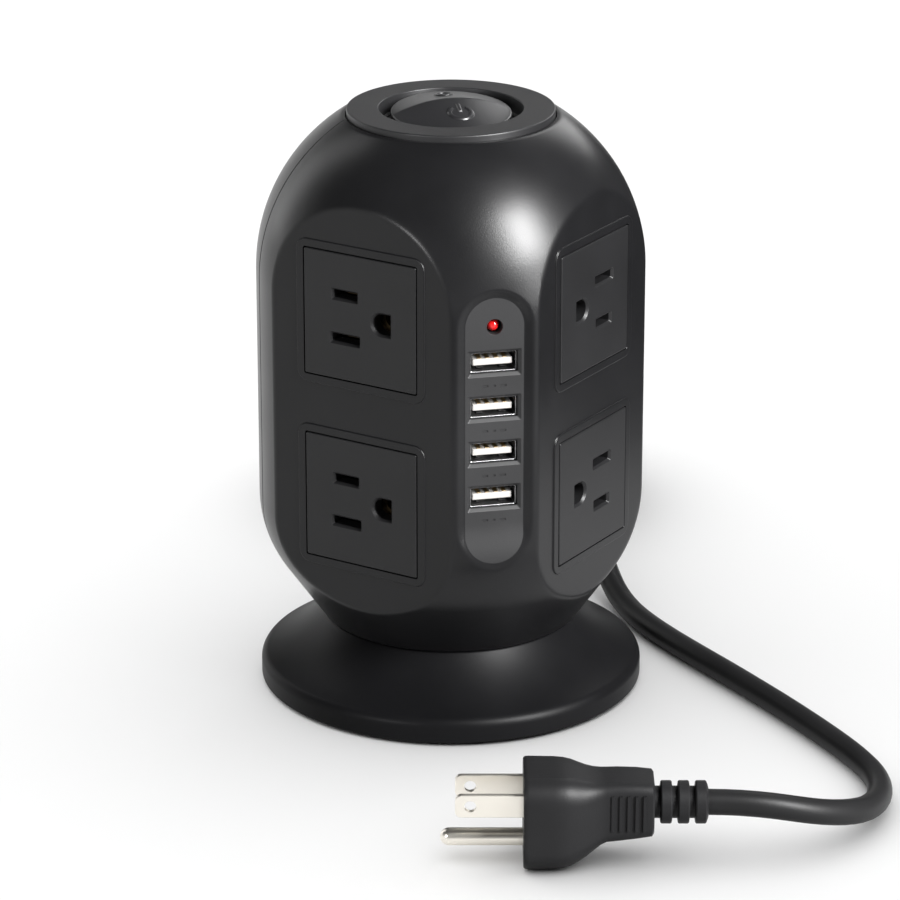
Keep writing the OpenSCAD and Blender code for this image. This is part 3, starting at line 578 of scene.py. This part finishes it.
def body_radius(angle, z):
    """Radius of the body with its four flat faces and softly rounded edges between them; arrays welcome."""
    round_r = np.interp(z, ROUND[:, 0], ROUND[:, 1])
    flat_r = FACE_DIST / np.cos(np.asarray(angle) % QUARTER - QUARTER / 2)
    h = np.clip(1 - np.abs(round_r - flat_r) / BLEND, 0, 1)
    return np.minimum(round_r, flat_r) - h * h * BLEND * 0.25


def spaced(breaks, step):
    """Even steps between each pair of break values, with the breaks kept."""
    out = []
    for a, b in zip(breaks[:-1], breaks[1:]):
        n = max(1, int(ceil((b - a) / step - 1e-9)))
        out += [a + (b - a) * i / n for i in range(n)]
    return np.array([*out, breaks[-1]])


WINDOW_U, WINDOW_H = PLATE_W / 2 + PLATE_GAP, PLATE_H / 2 + PLATE_GAP
WINDOW_ANGLE = atan(WINDOW_U / FACE_DIST)
ROWS = [(LOWER_Z - WINDOW_H, LOWER_Z + WINDOW_H), (UPPER_Z - WINDOW_H, UPPER_Z + WINDOW_H)]
COLUMN_TURN = radians(11.95)
COLUMN_SOFT = 1.95
PANEL_R, PANEL_BEND, PANEL_TAIL, PANEL_EASE = COLUMN_R - 1.05, 66.2, 11.5, 1.3
COLUMN_REACH, COLUMN_RISE = BODY_R * sin(COLUMN_TURN), (ROWS[1][1] - ROWS[0][0]) / 2 - COLUMN_HALF
SCREW_TURN, SCREW_HALF = radians(9.91), radians(4.6)
SCREW_ROWS = [(44.0, 39.5, ROWS[0][0]), (138.0, 133.5, 143.0)]
SEAM = asin(0.05 / BODY_R)
EDGE_R = 0.5
FACE_TURNS = (QUARTER / 2, 3 * QUARTER / 2)


def openings(side):
    """What patch() fills on one half: a rectangle's angles and heights, and the middle of its opening."""
    if side < 0:
        return [(QUARTER - COLUMN_TURN, QUARTER + COLUMN_TURN, ROWS[0][0], ROWS[1][1], 0.0, COLUMN_Z)]
    return [(QUARTER + s * SCREW_TURN - SCREW_HALF, QUARTER + s * SCREW_TURN + SCREW_HALF, low, high,
             -s * SCREW_X, z) for s in (-1, 1) for z, low, high in SCREW_ROWS]


def edge_drop(distance):
    """How far a rounded edge has fallen at a distance from it."""
    return EDGE_R - sqrt(max(0.0, EDGE_R ** 2 - max(0.0, EDGE_R - distance) ** 2))


def body_half(side):
    """Angles of one half from seam to seam, in the body's frame and from its own first seam, with the outlet
    windows and other openings as whole cells and fine steps at the edges of the flat faces."""
    near = [SEAM + d / BODY_R for d in (0, 0.03, 0.1, 0.2, 0.34, EDGE_R)]
    breaks = {near[-1], pi - near[-1], *[a for box in openings(side) for a in box[:2]]}
    breaks |= {turn + s * WINDOW_ANGLE for turn in FACE_TURNS for s in (-1, 1)}
    inner = spaced(sorted(breaks), radians(0.72))
    edge = acos(FACE_DIST / BODY_R)
    fine = [turn + s * edge + radians(d) for turn in FACE_TURNS for s in (-1, 1)
            for d in np.arange(-1.0, 1.01, 0.2)]
    inner = np.sort(np.concatenate([inner, [a for a in fine if np.abs(inner - a).min() > 0.001]]))
    local = np.concatenate([near[:-1], inner, [pi - a for a in near[:-1][::-1]]])
    return (pi if side < 0 else 0.0) + local, local


def heights(side):
    """Heights of the skin's rows, with every opening's ends among them."""
    marks = {BODY_Z + EDGE_R, RIM_Z - EDGE_R, *[z for row in ROWS for z in row]}
    marks |= {z for box in openings(side) for z in box[2:4]}
    ends = np.array([0, 0.03, 0.12, 0.28])
    return np.concatenate([BODY_Z + ends, spaced(sorted(marks), 0.72), RIM_Z - ends[::-1]])


def panel_y(z):
    """The USB panel's plane, which eases out towards the skin below the last port."""
    return PANEL_Y - PANEL_EASE * ease((PANEL_BEND - z) / PANEL_TAIL)


def column_outline(x, z):
    """A point of the column's rectangle pulled in to the slot, whose ends are half circles."""
    r, over = COLUMN_R + COLUMN_SOFT, abs(z - COLUMN_Z) - COLUMN_HALF
    if over <= 0:
        return copysign(r, x), z
    turn = atan2(over, abs(x) * COLUMN_RISE / COLUMN_REACH)
    return (copysign(r * cos(turn), x),
            COLUMN_Z + copysign(COLUMN_HALF + r * sin(turn), z - COLUMN_Z))


def screw_outline(cx, cz):
    """Pulls points in to the edge of the screw hole round (cx, cz)."""
    def pulled(x, z):
        turn = atan2(z - cz, x - cx)
        return cx + SCREW_HOLE_R * cos(turn), cz + SCREW_HOLE_R * sin(turn)

    return pulled


def towards_panel(share):
    """A depth that is a share of the way from the skin to the panel's plane."""
    return lambda skin, z: skin - share * (skin + panel_y(z))


def below_skin(drop):
    """A fixed depth under the skin."""
    return lambda skin, z: skin - drop


COLUMN_SEAT = [(3.05 * t, towards_panel(ease(t))) for t in np.linspace(0.07, 1, 14)]
COLUMN_SEAT.append((3.1, towards_panel(1.03)))
SCREW_SEAT = [(0.05, below_skin(0.02)), (0.15, below_skin(0.09)), (0.3, below_skin(0.3)),
              (0.3, below_skin(0.9)), *[(inset, lambda skin, z: SCREW_FLOOR) for inset in (0.3, 1.3)]]


def patch(shape, angles, zs, outline, centre, half, seat):
    """Fills a rectangle of the skin round an opening. outline(x, z) pulls a point of the rectangle in to the
    opening's edge. The opening is a slot about centre, with straight sides of twice half, or a round hole.
    seat lists the steps from that edge: how far in, and depth(skin, z), the distance from the seam plane."""
    rim = [(a, zs[0]) for a in angles[:-1]] + [(angles[-1], z) for z in zs[:-1]] \
        + [(a, zs[-1]) for a in angles[:0:-1]] + [(angles[0], z) for z in zs[:0:-1]]
    side = 1 if sin(angles[0]) > 0 else -1
    starts = [(cos(a) * float(body_radius(a, z)), z) for a, z in rim]
    ends = [outline(x, z) for x, z in starts]
    steps, loops = 8, []
    for k in range(steps + 1):
        t = 1 - (1 - k / steps) ** 1.3
        points = [(x0 + (x1 - x0) * t, z0 + (z1 - z0) * t) for (x0, z0), (x1, z1) in zip(starts, ends)]
        loops.append([(x, side * skin_y(x, z), z) for x, z in points])
    for inset, depth in seat:
        loop = []
        for x1, z1 in ends:
            over = max(0.0, abs(z1 - centre[1]) - half)
            n = np.array((x1 - centre[0], copysign(over, z1 - centre[1])))
            n = n / max(1e-9, np.linalg.norm(n))
            x, z = x1 - n[0] * inset, z1 - n[1] * inset
            loop.append((x, side * depth(skin_y(x, z), z), z))
        loops.append(loop)
    shape.loft(loops)


def shell_skin(side):
    """The outer skin of one half, its rounded seam edges, rims and wall edges."""
    shape = Shape()
    angles, local = body_half(side)
    zs = heights(side)
    grid_a, grid_z = np.meshgrid(angles, zs, indexing="ij")
    r = body_radius(grid_a, grid_z)
    seam = np.minimum(local, pi - local)
    drop = np.array([edge_drop((s - SEAM) * BODY_R) for s in seam])
    ends = np.array([edge_drop(min(z - BODY_Z, RIM_Z - z)) for z in zs])
    r = r - drop[:, None] * (r / BODY_R) - ends[None, :]
    verts = np.stack([r * np.cos(grid_a), r * np.sin(grid_a), grid_z], axis=-1).reshape(-1, 3)
    n = len(zs)
    holes = [(turn - WINDOW_ANGLE, turn + WINDOW_ANGLE, lo, hi) for turn in FACE_TURNS for lo, hi in ROWS]
    mid_a = (local[:-1] + local[1:]) / 2
    mid_z = (zs[:-1] + zs[1:]) / 2
    keep = np.ones((len(mid_a), len(mid_z)), bool)
    for a0, a1, z0, z1, *_ in holes + openings(side):
        keep &= ~(((mid_a > a0) & (mid_a < a1))[:, None] & ((mid_z > z0) & (mid_z < z1))[None, :])
    i, j = np.nonzero(keep)
    faces = np.stack([i * n + j, (i + 1) * n + j, (i + 1) * n + j + 1, i * n + j + 1], axis=1)
    shape.add(verts.tolist(), faces.tolist())

    for a0, a1, z0, z1, x, z in openings(side):
        across = [float(a) for a, m in zip(angles, local) if a0 - 1e-9 <= m <= a1 + 1e-9]
        up = [float(q) for q in zs if z0 - 1e-9 <= q <= z1 + 1e-9]
        if side < 0:
            patch(shape, across, up, column_outline, (x, z), COLUMN_HALF, COLUMN_SEAT)
        else:
            patch(shape, across, up, screw_outline(x, z), (x, z), 0.0, SCREW_SEAT)

    def rim(z_edge, z_in, radius_in, top):
        """From the skin's end in to an edge circle and back into the body."""
        edge = [float(body_radius(a, z_edge)) - d - EDGE_R for a, d in zip(angles, drop)]
        inside = [radius_in] * len(angles)
        rows = [[(r * cos(a), r * sin(a), z) for r, a in zip(radii, angles)]
                for radii, z in ((edge, z_edge), (inside, z_edge), (inside, z_in))]
        shape.loft(rows if top else [row[::-1] for row in rows], closed=False)

    rim(RIM_Z, SEAT_Z - 0.3, CAP_R + 0.35, True)
    rim(BODY_Z, BODY_Z + 2.4, 24.0, False)
    for k in (0, -1):
        deep = body_radius(angles[k], zs) - WALL
        inside = np.stack([deep * cos(angles[k]), deep * sin(angles[k]), zs], axis=1).tolist()
        wall = [verts.reshape(len(angles), n, 3)[k].tolist(), inside]
        shape.loft(wall if k == -1 else wall[::-1], closed=False)
    return shape


def outlet_place(angle, flip):
    """From a face's own frame (X outwards, Y along the face) to the body's; flip turns the pair over."""
    turn = Matrix.Rotation(radians(angle), 4, "Z")
    return turn @ Matrix.Translation((0, 0, MID_Z)) @ Matrix.Rotation(radians(flip), 4, "X") \
        @ Matrix.Translation((0, 0, -MID_Z))


def outlet_frame(z):
    """The low raised frame round one outlet, and the walls of its window."""
    def at(d, w, h, r):
        return [(d, u, v + z) for u, v in rounded_rect(w, h, r)]

    outer, inner, corner = 0.3, 0.15, 0.6
    rows = [at(FACE_DIST - 0.1, FRAME_W + 0.3, FRAME_H + 0.3, 3.6)]
    for c, s in arc(0, 0, 1, 0, 90, 5):
        cut = outer * (1 - c)
        rows.append(at(FRAME_FRONT - outer * (1 - s), FRAME_W - 2 * cut, FRAME_H - 2 * cut, 3.5 - cut))
    w, h = 2 * WINDOW_U, 2 * WINDOW_H
    for c, s in arc(0, 0, 1, 90, 0, 3):
        cut = inner * (1 - c)
        rows.append(at(FRAME_FRONT - inner * (1 - s), w + 2 * cut, h + 2 * cut, corner + cut))
    rows.append(at(FRAME_BACK, w, h, corner))
    return Shape().loft(rows)


def shell(side, name, node):
    """One half of the body, with the frames round its four outlets."""
    shape = shell_skin(side)
    for _, angle, flip in FACES:
        if sin(radians(angle)) * side > 0:
            for z in (LOWER_Z, UPPER_Z):
                shape.take(outlet_frame(z).moved(outlet_place(angle, flip)))
    return piece(name, shape, SHELL, stands_for=(node,), sharp=28)


def outlet_holes():
    """The plate's two blade slots and its ground hole: each gives its outline for a widening."""
    def slot(v, length):
        return lambda g: [(SLOT_SHIFT + a, v + b)
                          for a, b in rounded_rect(length + 2 * g, SLOT_T + 2 * g, 0.25 + 0.3 * g)]

    return [slot(SLOT_PITCH / 2, 7.6), slot(-SLOT_PITCH / 2, 8.9),
            lambda g: [(SLOT_SHIFT + GROUND_OFFSET + a, b) for a, b in ground_outline(g)]]


def outlet_plate(z):
    """A plate with two blade slots and a ground hole, all with sloped edges."""
    def at(d, points):
        return [(d, u, v + z) for u, v in points]

    edge, corner, slope = 0.35, 0.16, 0.68
    rows = [at(PLATE_BACK, rounded_rect(PLATE_W, PLATE_H, 0.5))]
    for c, s in arc(0, 0, 1, 0, 90, 5):
        cut = edge * (1 - c)
        outline = rounded_rect(PLATE_W - 2 * cut, PLATE_H - 2 * cut, max(corner, 0.5 - cut))
        rows.append(at(PLATE_FRONT - edge * (1 - s), outline))
    shape = Shape().loft(rows)
    outer = rounded_rect(PLATE_W - 2 * edge, PLATE_H - 2 * edge, corner)
    holes = outlet_holes()
    shape.add(*flat_face(outer, [hole(slope) for hole in holes], lambda a, b: (PLATE_FRONT, a, b + z)))
    for hole in holes:
        walls = ((0, slope), (0.05, 0.6), (0.62, 0.06), (0.75, 0.0), (PLATE_FRONT - PLATE_BACK, 0.0))
        shape.loft([at(PLATE_FRONT - drop, hole(g)) for drop, g in walls])
    return shape


def make_outlets():
    """Two plates on each flat face."""
    for face, angle, flip in FACES:
        for row, z in (("upper", UPPER_Z), ("lower", LOWER_Z)):
            shape = outlet_plate(z).moved(outlet_place(angle, flip))
            piece(f"{face}_{row}_outlet", shape, OUTLET,
                  stands_for=(f"{face}_{row}_plate",), sharp=30)


shell(-1, "front_body", "front_shell")
shell(1, "rear_body", "rear_shell")
make_outlets()


# ---- USB column ----
PORTS = [PORT_Z - i * PORT_PITCH for i in range(4)]


def make_panel():
    """The flat panel of the USB column, with sloped port openings, the lamp's hole and engraved dashes. Below
    PANEL_BEND it is a bent grid."""
    shape = Shape()
    low = COLUMN_Z - COLUMN_HALF
    drops = [PANEL_R * sin(radians(a)) for a in range(4, 90, 4)] + [PANEL_R - 0.01]
    rows = []
    for z in [*np.linspace(PANEL_BEND, low, 8), *[low - drop for drop in drops]]:
        w = PANEL_R if z >= low else sqrt(PANEL_R ** 2 - (low - z) ** 2)
        rows.append([(w * t, panel_y(z), z) for t in np.linspace(1, -1, 25)])
    shape.loft(rows, closed=False)
    # each opening is a list of outlines, each with its depth behind the face
    cuts = []
    mark_h, mark_drop, mark_depth = 0.62, 6.5, 0.22
    for port_z in PORTS:
        stages = ((15.2, 7.7, 0.35, 0.0), (15.0, 7.5, 0.3, 0.06), (13.5, 6.0, 0.25, 0.72),
                  (13.4, 5.9, 0.25, 0.85), (13.4, 5.9, 0.25, 2.6))
        cuts.append([([(x, port_z + v) for x, v in rounded_rect(w, h, r, 4)], depth)
                     for w, h, r, depth in stages])
        for x, w in ((-2.6, 1.7), (0.0, 0.7), (2.4, 1.9)):
            mark = [(x + a, port_z - mark_drop + b) for a, b in rounded_rect(w, mark_h, 0.25, 3)]
            cuts.append([(mark, 0.0), (mark, mark_depth)])
            shape.add(*flat_face(mark, [], lambda a, b: (a, PANEL_Y + mark_depth, b)))
    cuts.append([(circle(r, 48, 0, LED_Z), depth) for r, depth in ((2.35, 0.0), (2.22, 0.15), (2.2, 5.0))])
    outer = arc(0, COLUMN_Z + COLUMN_HALF, PANEL_R, 0, 180, 48)
    outer += [(-PANEL_R, PANEL_BEND), (PANEL_R, PANEL_BEND)]
    shape.add(*flat_face(outer, [stages[0][0] for stages in cuts], lambda a, b: (a, PANEL_Y, b)))
    for stages in cuts:
        shape.loft([[(x, PANEL_Y + depth, z) for x, z in outline] for outline, depth in stages])
    return piece("usb_panel", shape, PANEL, sharp=25)


def make_port(i, z):
    """A steel shell with a rounded lip and four spring leaves, and its white tongue with four contacts."""
    def at(y, w, h, r, up=0.0, steps=4):
        return [(x, y, z + up + v) for x, v in rounded_rect(w, h, r, steps)]

    back, lip, w, h = BOARD_FRONT - 0.1, -51.9, 13.1, 5.72
    stages = ((back, 0, 0.5), (lip + 0.2, 0, 0.5), (lip + 0.05, 0.06, 0.45), (lip, 0.15, 0.4),
              (lip + 0.05, 0.24, 0.35), (lip + 0.2, 0.3, 0.3), (back - 0.6, 0.3, 0.3))
    steel = Shape().loft([at(y, w - 2 * cut, h - 2 * cut, r) for y, cut, r in stages], end=True)
    for side in (-1, 1):
        for x in (-3.2, 3.2):
            leaf = [[(x + a, y, z + side * (2.56 - lift)) for a in (-0.9, 0.9)]
                    for y, lift in ((-41.0, 0.0), (-46.5, 0.55), (-48.3, 0.62), (-49.2, 0.1))]
            steel.loft(leaf, closed=False)
    # The shell's darkened steel carries painted shade of the port's inside.
    piece(f"usb_port_{i}", steel, SHADED_USB_STEEL, stands_for=(f"usb_shell_{i}",), sharp=35)

    root, drop, w, h = -41.8, 0.33, 11.1, 1.84
    tongue = Shape().loft([at(y, w - 2 * cut, h - 2 * cut, 0.22, -drop, 3) for y, cut in (
        (root, 0), (-50.6, 0), (-50.8, 0.12), (-50.9, 0.35))], end=True)
    tongue.loft([at(y, 12.2, 4.8, 0.3, steps=3) for y in (-39.0, root)], start=True, end=True)
    # The tongue's greyed white is painted shade.
    piece(f"usb_tongue_block_{i}", tongue, SHADED_WHITE, stands_for=(f"usb_tongue_{i}",), sharp=30)

    contacts, top, half = Shape(), z - drop + h / 2, 0.55
    for x in (-3.6, -1.25, 1.25, 3.6):
        section = [(x + a, top + v) for a, v in ((-half, -0.3), (half, -0.3), (half, 0.16), (-half, 0.16))]
        contacts.loft([[(a, y, v) for a, v in section] for y in (root - 0.1, -50.3)], start=True, end=True)
    piece(f"usb_contacts_{i}", contacts, BRASS, sharp=30)


def make_led():
    """A red lamp with a domed end."""
    r, length = 1.85, 12.4
    profile = [(r, 0.0), (r, length)] + [(a, length + b) for a, b in arc(0, 0, r - 0.02, 0, 90, 12)][1:]
    shape = Shape().lathe(profile, 48)
    shape.moved(Matrix.Translation((0, BOARD_FRONT, LED_Z)) @ Matrix.Rotation(pi / 2, 4, "X"))
    return piece("power_lamp", shape, RED, stands_for=("power_led",), sharp=50)


make_panel()
for number, port_z in enumerate(PORTS, 1):
    make_port(number, port_z)
make_led()


# ---- cap and rocker ----
def make_cap():
    """The cap with its round well, seated in the body's rim."""
    skirt_r, floor_r, low = 22.9, 18.7, 166.3
    corners = [(skirt_r, low), (skirt_r, SEAT_Z), (CAP_R, SEAT_Z), (CAP_R, CAP_Z), (WELL_R + 0.2, CAP_Z),
               (WELL_R - 0.4, low + 0.3), (floor_r, low + 0.2), (floor_r, low), (skirt_r, low)]
    shape = Shape().lathe(filleted(corners, [0, 0, 0.15, 0.5, 0.35, 0.2, 0, 0, 0], 7), 256)
    # The cap's lighter plastic carries painted light on its top.
    return piece("cap_ring", shape, CAP_PAINTED_LIGHT, stands_for=("top_cap",), sharp=50)


def symbol_height(x, y):
    """Raised marks on the rocker: a power symbol on the near slope and a ring on the far one."""
    slope, height = 0.22, 0.42

    def stroke(distance, width):
        return np.clip((width - np.abs(distance)) / slope, 0, 1)

    dx, dy, ring_r, bar_top = x - 0.9, y + 7.6, 3.1, 4.3
    ring = stroke(np.hypot(dx, dy) - ring_r, 0.62) * (np.abs(np.degrees(np.arctan2(dx, dy))) > 38)
    inside = np.clip((dy - 0.2) / slope, 0, 1) * np.clip((bar_top - dy) / slope, 0, 1)
    bar = np.minimum(stroke(dx, 0.6), inside)
    far = stroke(np.hypot(x + 0.4, y - 8.2) - 2.3, 0.55)
    return height * np.maximum(np.maximum(ring, bar), far)


def make_rocker():
    """A round rocker whose two slopes meet in a ridge along X, higher in the middle, and its two pins."""
    n, edge, ridge, ridge_rise, ridge_soft = 360, 0.7, 7, 4.05, 0.4
    skirt_z, inner_r, inner_z = -2.6, 15.2, 4.4
    angles = TAU * np.arange(n) / n

    def ring(r, z):
        return np.stack([r * np.cos(angles), r * np.sin(angles), np.broadcast_to(z, n)], 1)

    top = []
    for rho in np.linspace(ROCKER_R - edge, 0.02, 96):
        x, y = rho * np.cos(angles), rho * np.sin(angles)
        span = np.sqrt(np.maximum(0.001, ROCKER_R ** 2 - x * x))
        away = np.maximum(0, np.sqrt(y * y + ridge_soft ** 2) - ridge_soft) / span
        z = ridge + ridge_rise * (1 - (x / ROCKER_R) ** 2) * np.maximum(0, 1 - away)
        z = z + symbol_height(x, y) * np.clip((ROCKER_R - edge - rho) / 0.5, 0, 1)
        top.append(ring(rho, z))
    side = [ring(ROCKER_R - edge + edge * c, top[0][:, 2] - edge * (1 - s))
            for c, s in arc(0, 0, 1, 0, 90, 5)[:-1]]
    rows = [ring(inner_r, inner_z), ring(inner_r, skirt_z), ring(ROCKER_R, skirt_z), *side, *top]
    shape = Shape().loft([row.tolist() for row in rows], end=True)
    pin_r, pin_start, pin_end = 1.5, 16.9, 18.9
    for x0, x1 in ((pin_start, pin_end), (-pin_end, -pin_start)):
        pin = Shape().lathe([(0.01, x0), (pin_r, x0), (pin_r, x1), (0.01, x1)], 32)
        shape.take(pin.moved(Matrix.Rotation(pi / 2, 4, "Y")))
    shape.moved(Matrix.Translation((0, 0, PIVOT_Z)) @ Matrix.Rotation(ROCKER_TILT, 4, "X"))
    return piece("rocker_cap", shape, ROCKER, body="rocker", stands_for=("rocker_button",),
                 sharp=42)


make_cap()
make_rocker()


# ---- foot ----
def flare(z):
    """Radius of the foot's hollow flare at a height."""
    return FLARE_X - sqrt(FLARE_R ** 2 - (z - FLARE_Z) ** 2)


def make_foot():
    """The flared foot with a rounded rim, and the boss that the cord leaves through."""
    rim_r, neck_z, bore_r = 3, 21.1, 24.0
    under = [(52.9, 3.2), (52.9, 1.1), (53.3, 0.85)] + arc(FOOT_R - 0.6, 1.4, 0.6, -90, 0, 5)
    rise = [(flare(z), z) for z in np.linspace(7.95, 20.7, 60)]
    neck = [(NECK_R - 0.1, neck_z - 0.15), (NECK_R - 0.5, neck_z), (bore_r + 0.3, neck_z),
            (bore_r, neck_z - 0.2), (bore_r, 18.9), (33.5, 18.8)]
    profile = under + [(FOOT_R, 3.5)] + arc(FOOT_R - rim_r, 5.2, rim_r, 0, 65, 12) + rise + neck
    shape = Shape().lathe(profile, 288)
    boss_r, n = 8.2, 72
    loops = [[(x, 40.0, max(1.0, z)) for x, z in circle(boss_r, n, 0, EXIT_Z)]]
    for cut, depth in ((0.0, 0.6), (0.12, 0.3), (0.5, 0.06), (1.2, 0.0)):
        loops.append([(x, sqrt((FOOT_R - 0.05) ** 2 - x * x) - depth, max(1.0, z))
                      for x, z in circle(boss_r - cut, n, 0, EXIT_Z)])
    for r, y in ((5.15, 55.1), (5.1, 54.8), (5.1, 50.4)):
        loops.append([(x, y, z) for x, z in circle(r, n, 0, EXIT_Z)])
    shape.loft([loop[::-1] for loop in loops])
    return piece("foot_cover", shape, FOOT, stands_for=("base_cover",), sharp=40)


def make_pads():
    """Four rubber pads with a rounded edge."""
    pad_r, height, at = 6.0, 1.05, 45
    profile = filleted([(0.01, height), (pad_r, height), (pad_r, 0.0), (0.01, 0.0)], [0, 0, 0.35, 0])[::-1]
    shape = Shape()
    for x, y in arc(0, 0, at, 45, 315, 3):
        shape.take(Shape().lathe(profile, 48).moved(Matrix.Translation((x, y, 0))))
    return piece("foot_pads", shape, RUBBER, stands_for=("rubber_feet",), sharp=40)


make_foot()
make_pads()


# ---- finishes of the CAD nodes that stay ----
KEPT = {
    DARK: ["switch_housing", "base_plate"],
    SHADED_WHITE: ["rocker_plunger"],
    SPRING: ["rocker_spring"],
    BRASS: ["switch_contact_arm", "switch_terminals"],
    BAR: [f"{face}_{kind}_bar" for face, _, _ in FACES for kind in ("line", "neutral", "ground")],
    BOARD: ["usb_board", "charger_board"],
    TAPE: ["transformer"],
    SLEEVE: ["capacitors"],
    SCREW: ["base_screws", "neck_screws", "shell_screws"],
    BLACK_WIRE: ["line_lead", "line_harness"],
    WHITE_WIRE: ["neutral_harness"],
    GREEN_WIRE: ["ground_harness"],
}
for finish, names in KEPT.items():
    for name in names:
        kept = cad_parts[name].data.materials
        kept.clear()
        kept.append(finish)


# ---- floor and light ----
def staged(name, shape, finish):
    """A thing of the scene that isn't part of the object."""
    mesh = shape.mesh(name)
    mesh.materials.append(finish)
    made = placed(name, mesh)
    return made


def make_floor():
    """A wide pale floor that curves up far behind the object."""
    side, far, bend, drop = 4000, 1800, 900, 0.02
    line = [(-side, -drop)] + [(far + b, bend - drop - a) for a, b in arc(0, 0, bend, 0, 90, 16)]
    shape = Shape().loft([[(-side, y, z), (side, y, z)] for y, z in line], closed=False)
    paper = material("floor_paper", (0.86, 0.86, 0.86), 0.9, grain=300, mottle=0.006, patch=3,
                     rough_swing=0.02, specular=0.1)
    floor = staged("floor", shape, paper)
    floor.data.shade_smooth()
    return floor


def make_wash(floor):
    """A broad sun that lights the floor and nothing else."""
    data = bpy.data.lights.new("floor_wash", "SUN")
    data.energy, data.angle = 4.1, radians(150)
    light = placed("floor_wash", data)
    light.rotation_euler = (radians(-20), 0, 0)
    lit = bpy.data.collections.new("lit_by_wash")
    lit.objects.link(floor)
    light.light_linking.receiver_collection = lit


def make_light(name, azimuth, elevation, distance, width, height, power):
    """A soft box, in metres and degrees, that lights the object and leaves the floor out."""
    data = bpy.data.lights.new(name, "AREA")
    data.shape, data.size, data.size_y, data.energy = "RECTANGLE", width, height, power
    light = placed(name, data)
    a, e = radians(azimuth), radians(elevation)
    away = distance * Vector((sin(a) * cos(e), -cos(a) * cos(e), sin(e)))
    light.location = Vector((0, 0, 0.1)) + away
    light.rotation_euler = away.to_track_quat("Z", "Y").to_euler()
    light.light_linking.receiver_collection = NOT_FLOOR


def make_cards():
    """Dark cards that only reflections see: one lying in front of the object, one standing to its right."""
    shape = Shape().loft([[(-500, y, 2), (500, y, 2)] for y in (-900, -260)], closed=False)
    shape.loft([[(250, -160, z), (190, 330, z)] for z in (0, 215)], closed=False)
    paper = material("card_paper", (0.03, 0.03, 0.03), 0.9, grain=300, specular=0.1)
    cards = staged("cards", shape, paper)
    cards.visible_camera = cards.visible_diffuse = cards.visible_shadow = False


def make_world():
    """White round the horizon, fading to a dark ceiling and a dim front."""
    world = bpy.data.worlds.new("studio")
    world.use_nodes = True
    tree = world.node_tree
    place = node(tree, "TexCoord")
    split = node(tree, "SeparateXYZ")
    ramp = node(tree, "ValToRGB")
    blend(ramp, (1, 1, 1), (0.04, 0.04, 0.04), 0.06, 0.42)
    front = node(tree, "MapRange", From_Min=-0.8, From_Max=0.1, To_Min=0.2, To_Max=1.0)
    sky = tree.nodes["Background"]
    join(tree, (place, "Generated", split, "Vector"), (split, "Z", ramp, "Fac"),
         (ramp, "Color", sky, "Color"), (split, "Y", front, "Value"), (front, "Result", sky, "Strength"))
    bpy.context.scene.world = world
    bpy.context.scene.view_settings.view_transform = "Standard"


NOT_FLOOR = bpy.data.collections.new("not_floor")
FLOOR = make_floor()
NOT_FLOOR.objects.link(FLOOR)
NOT_FLOOR.collection_objects[0].light_linking.link_state = "EXCLUDE"
make_wash(FLOOR)
make_cards()
make_world()
for name, *numbers in (("key", 37, 32, 1.1, 0.34, 0.55, 44), ("low_key", 38, 5, 0.9, 0.12, 0.3, 3),
                       ("arch", -50, 17, 1.0, 0.16, 0.16, 3), ("left_strip", -142, 25, 1.0, 0.3, 1.0, 1.6),
                       ("right_strip", 138, 25, 1.0, 0.3, 1.0, 3.2)):
    make_light(name, *numbers)
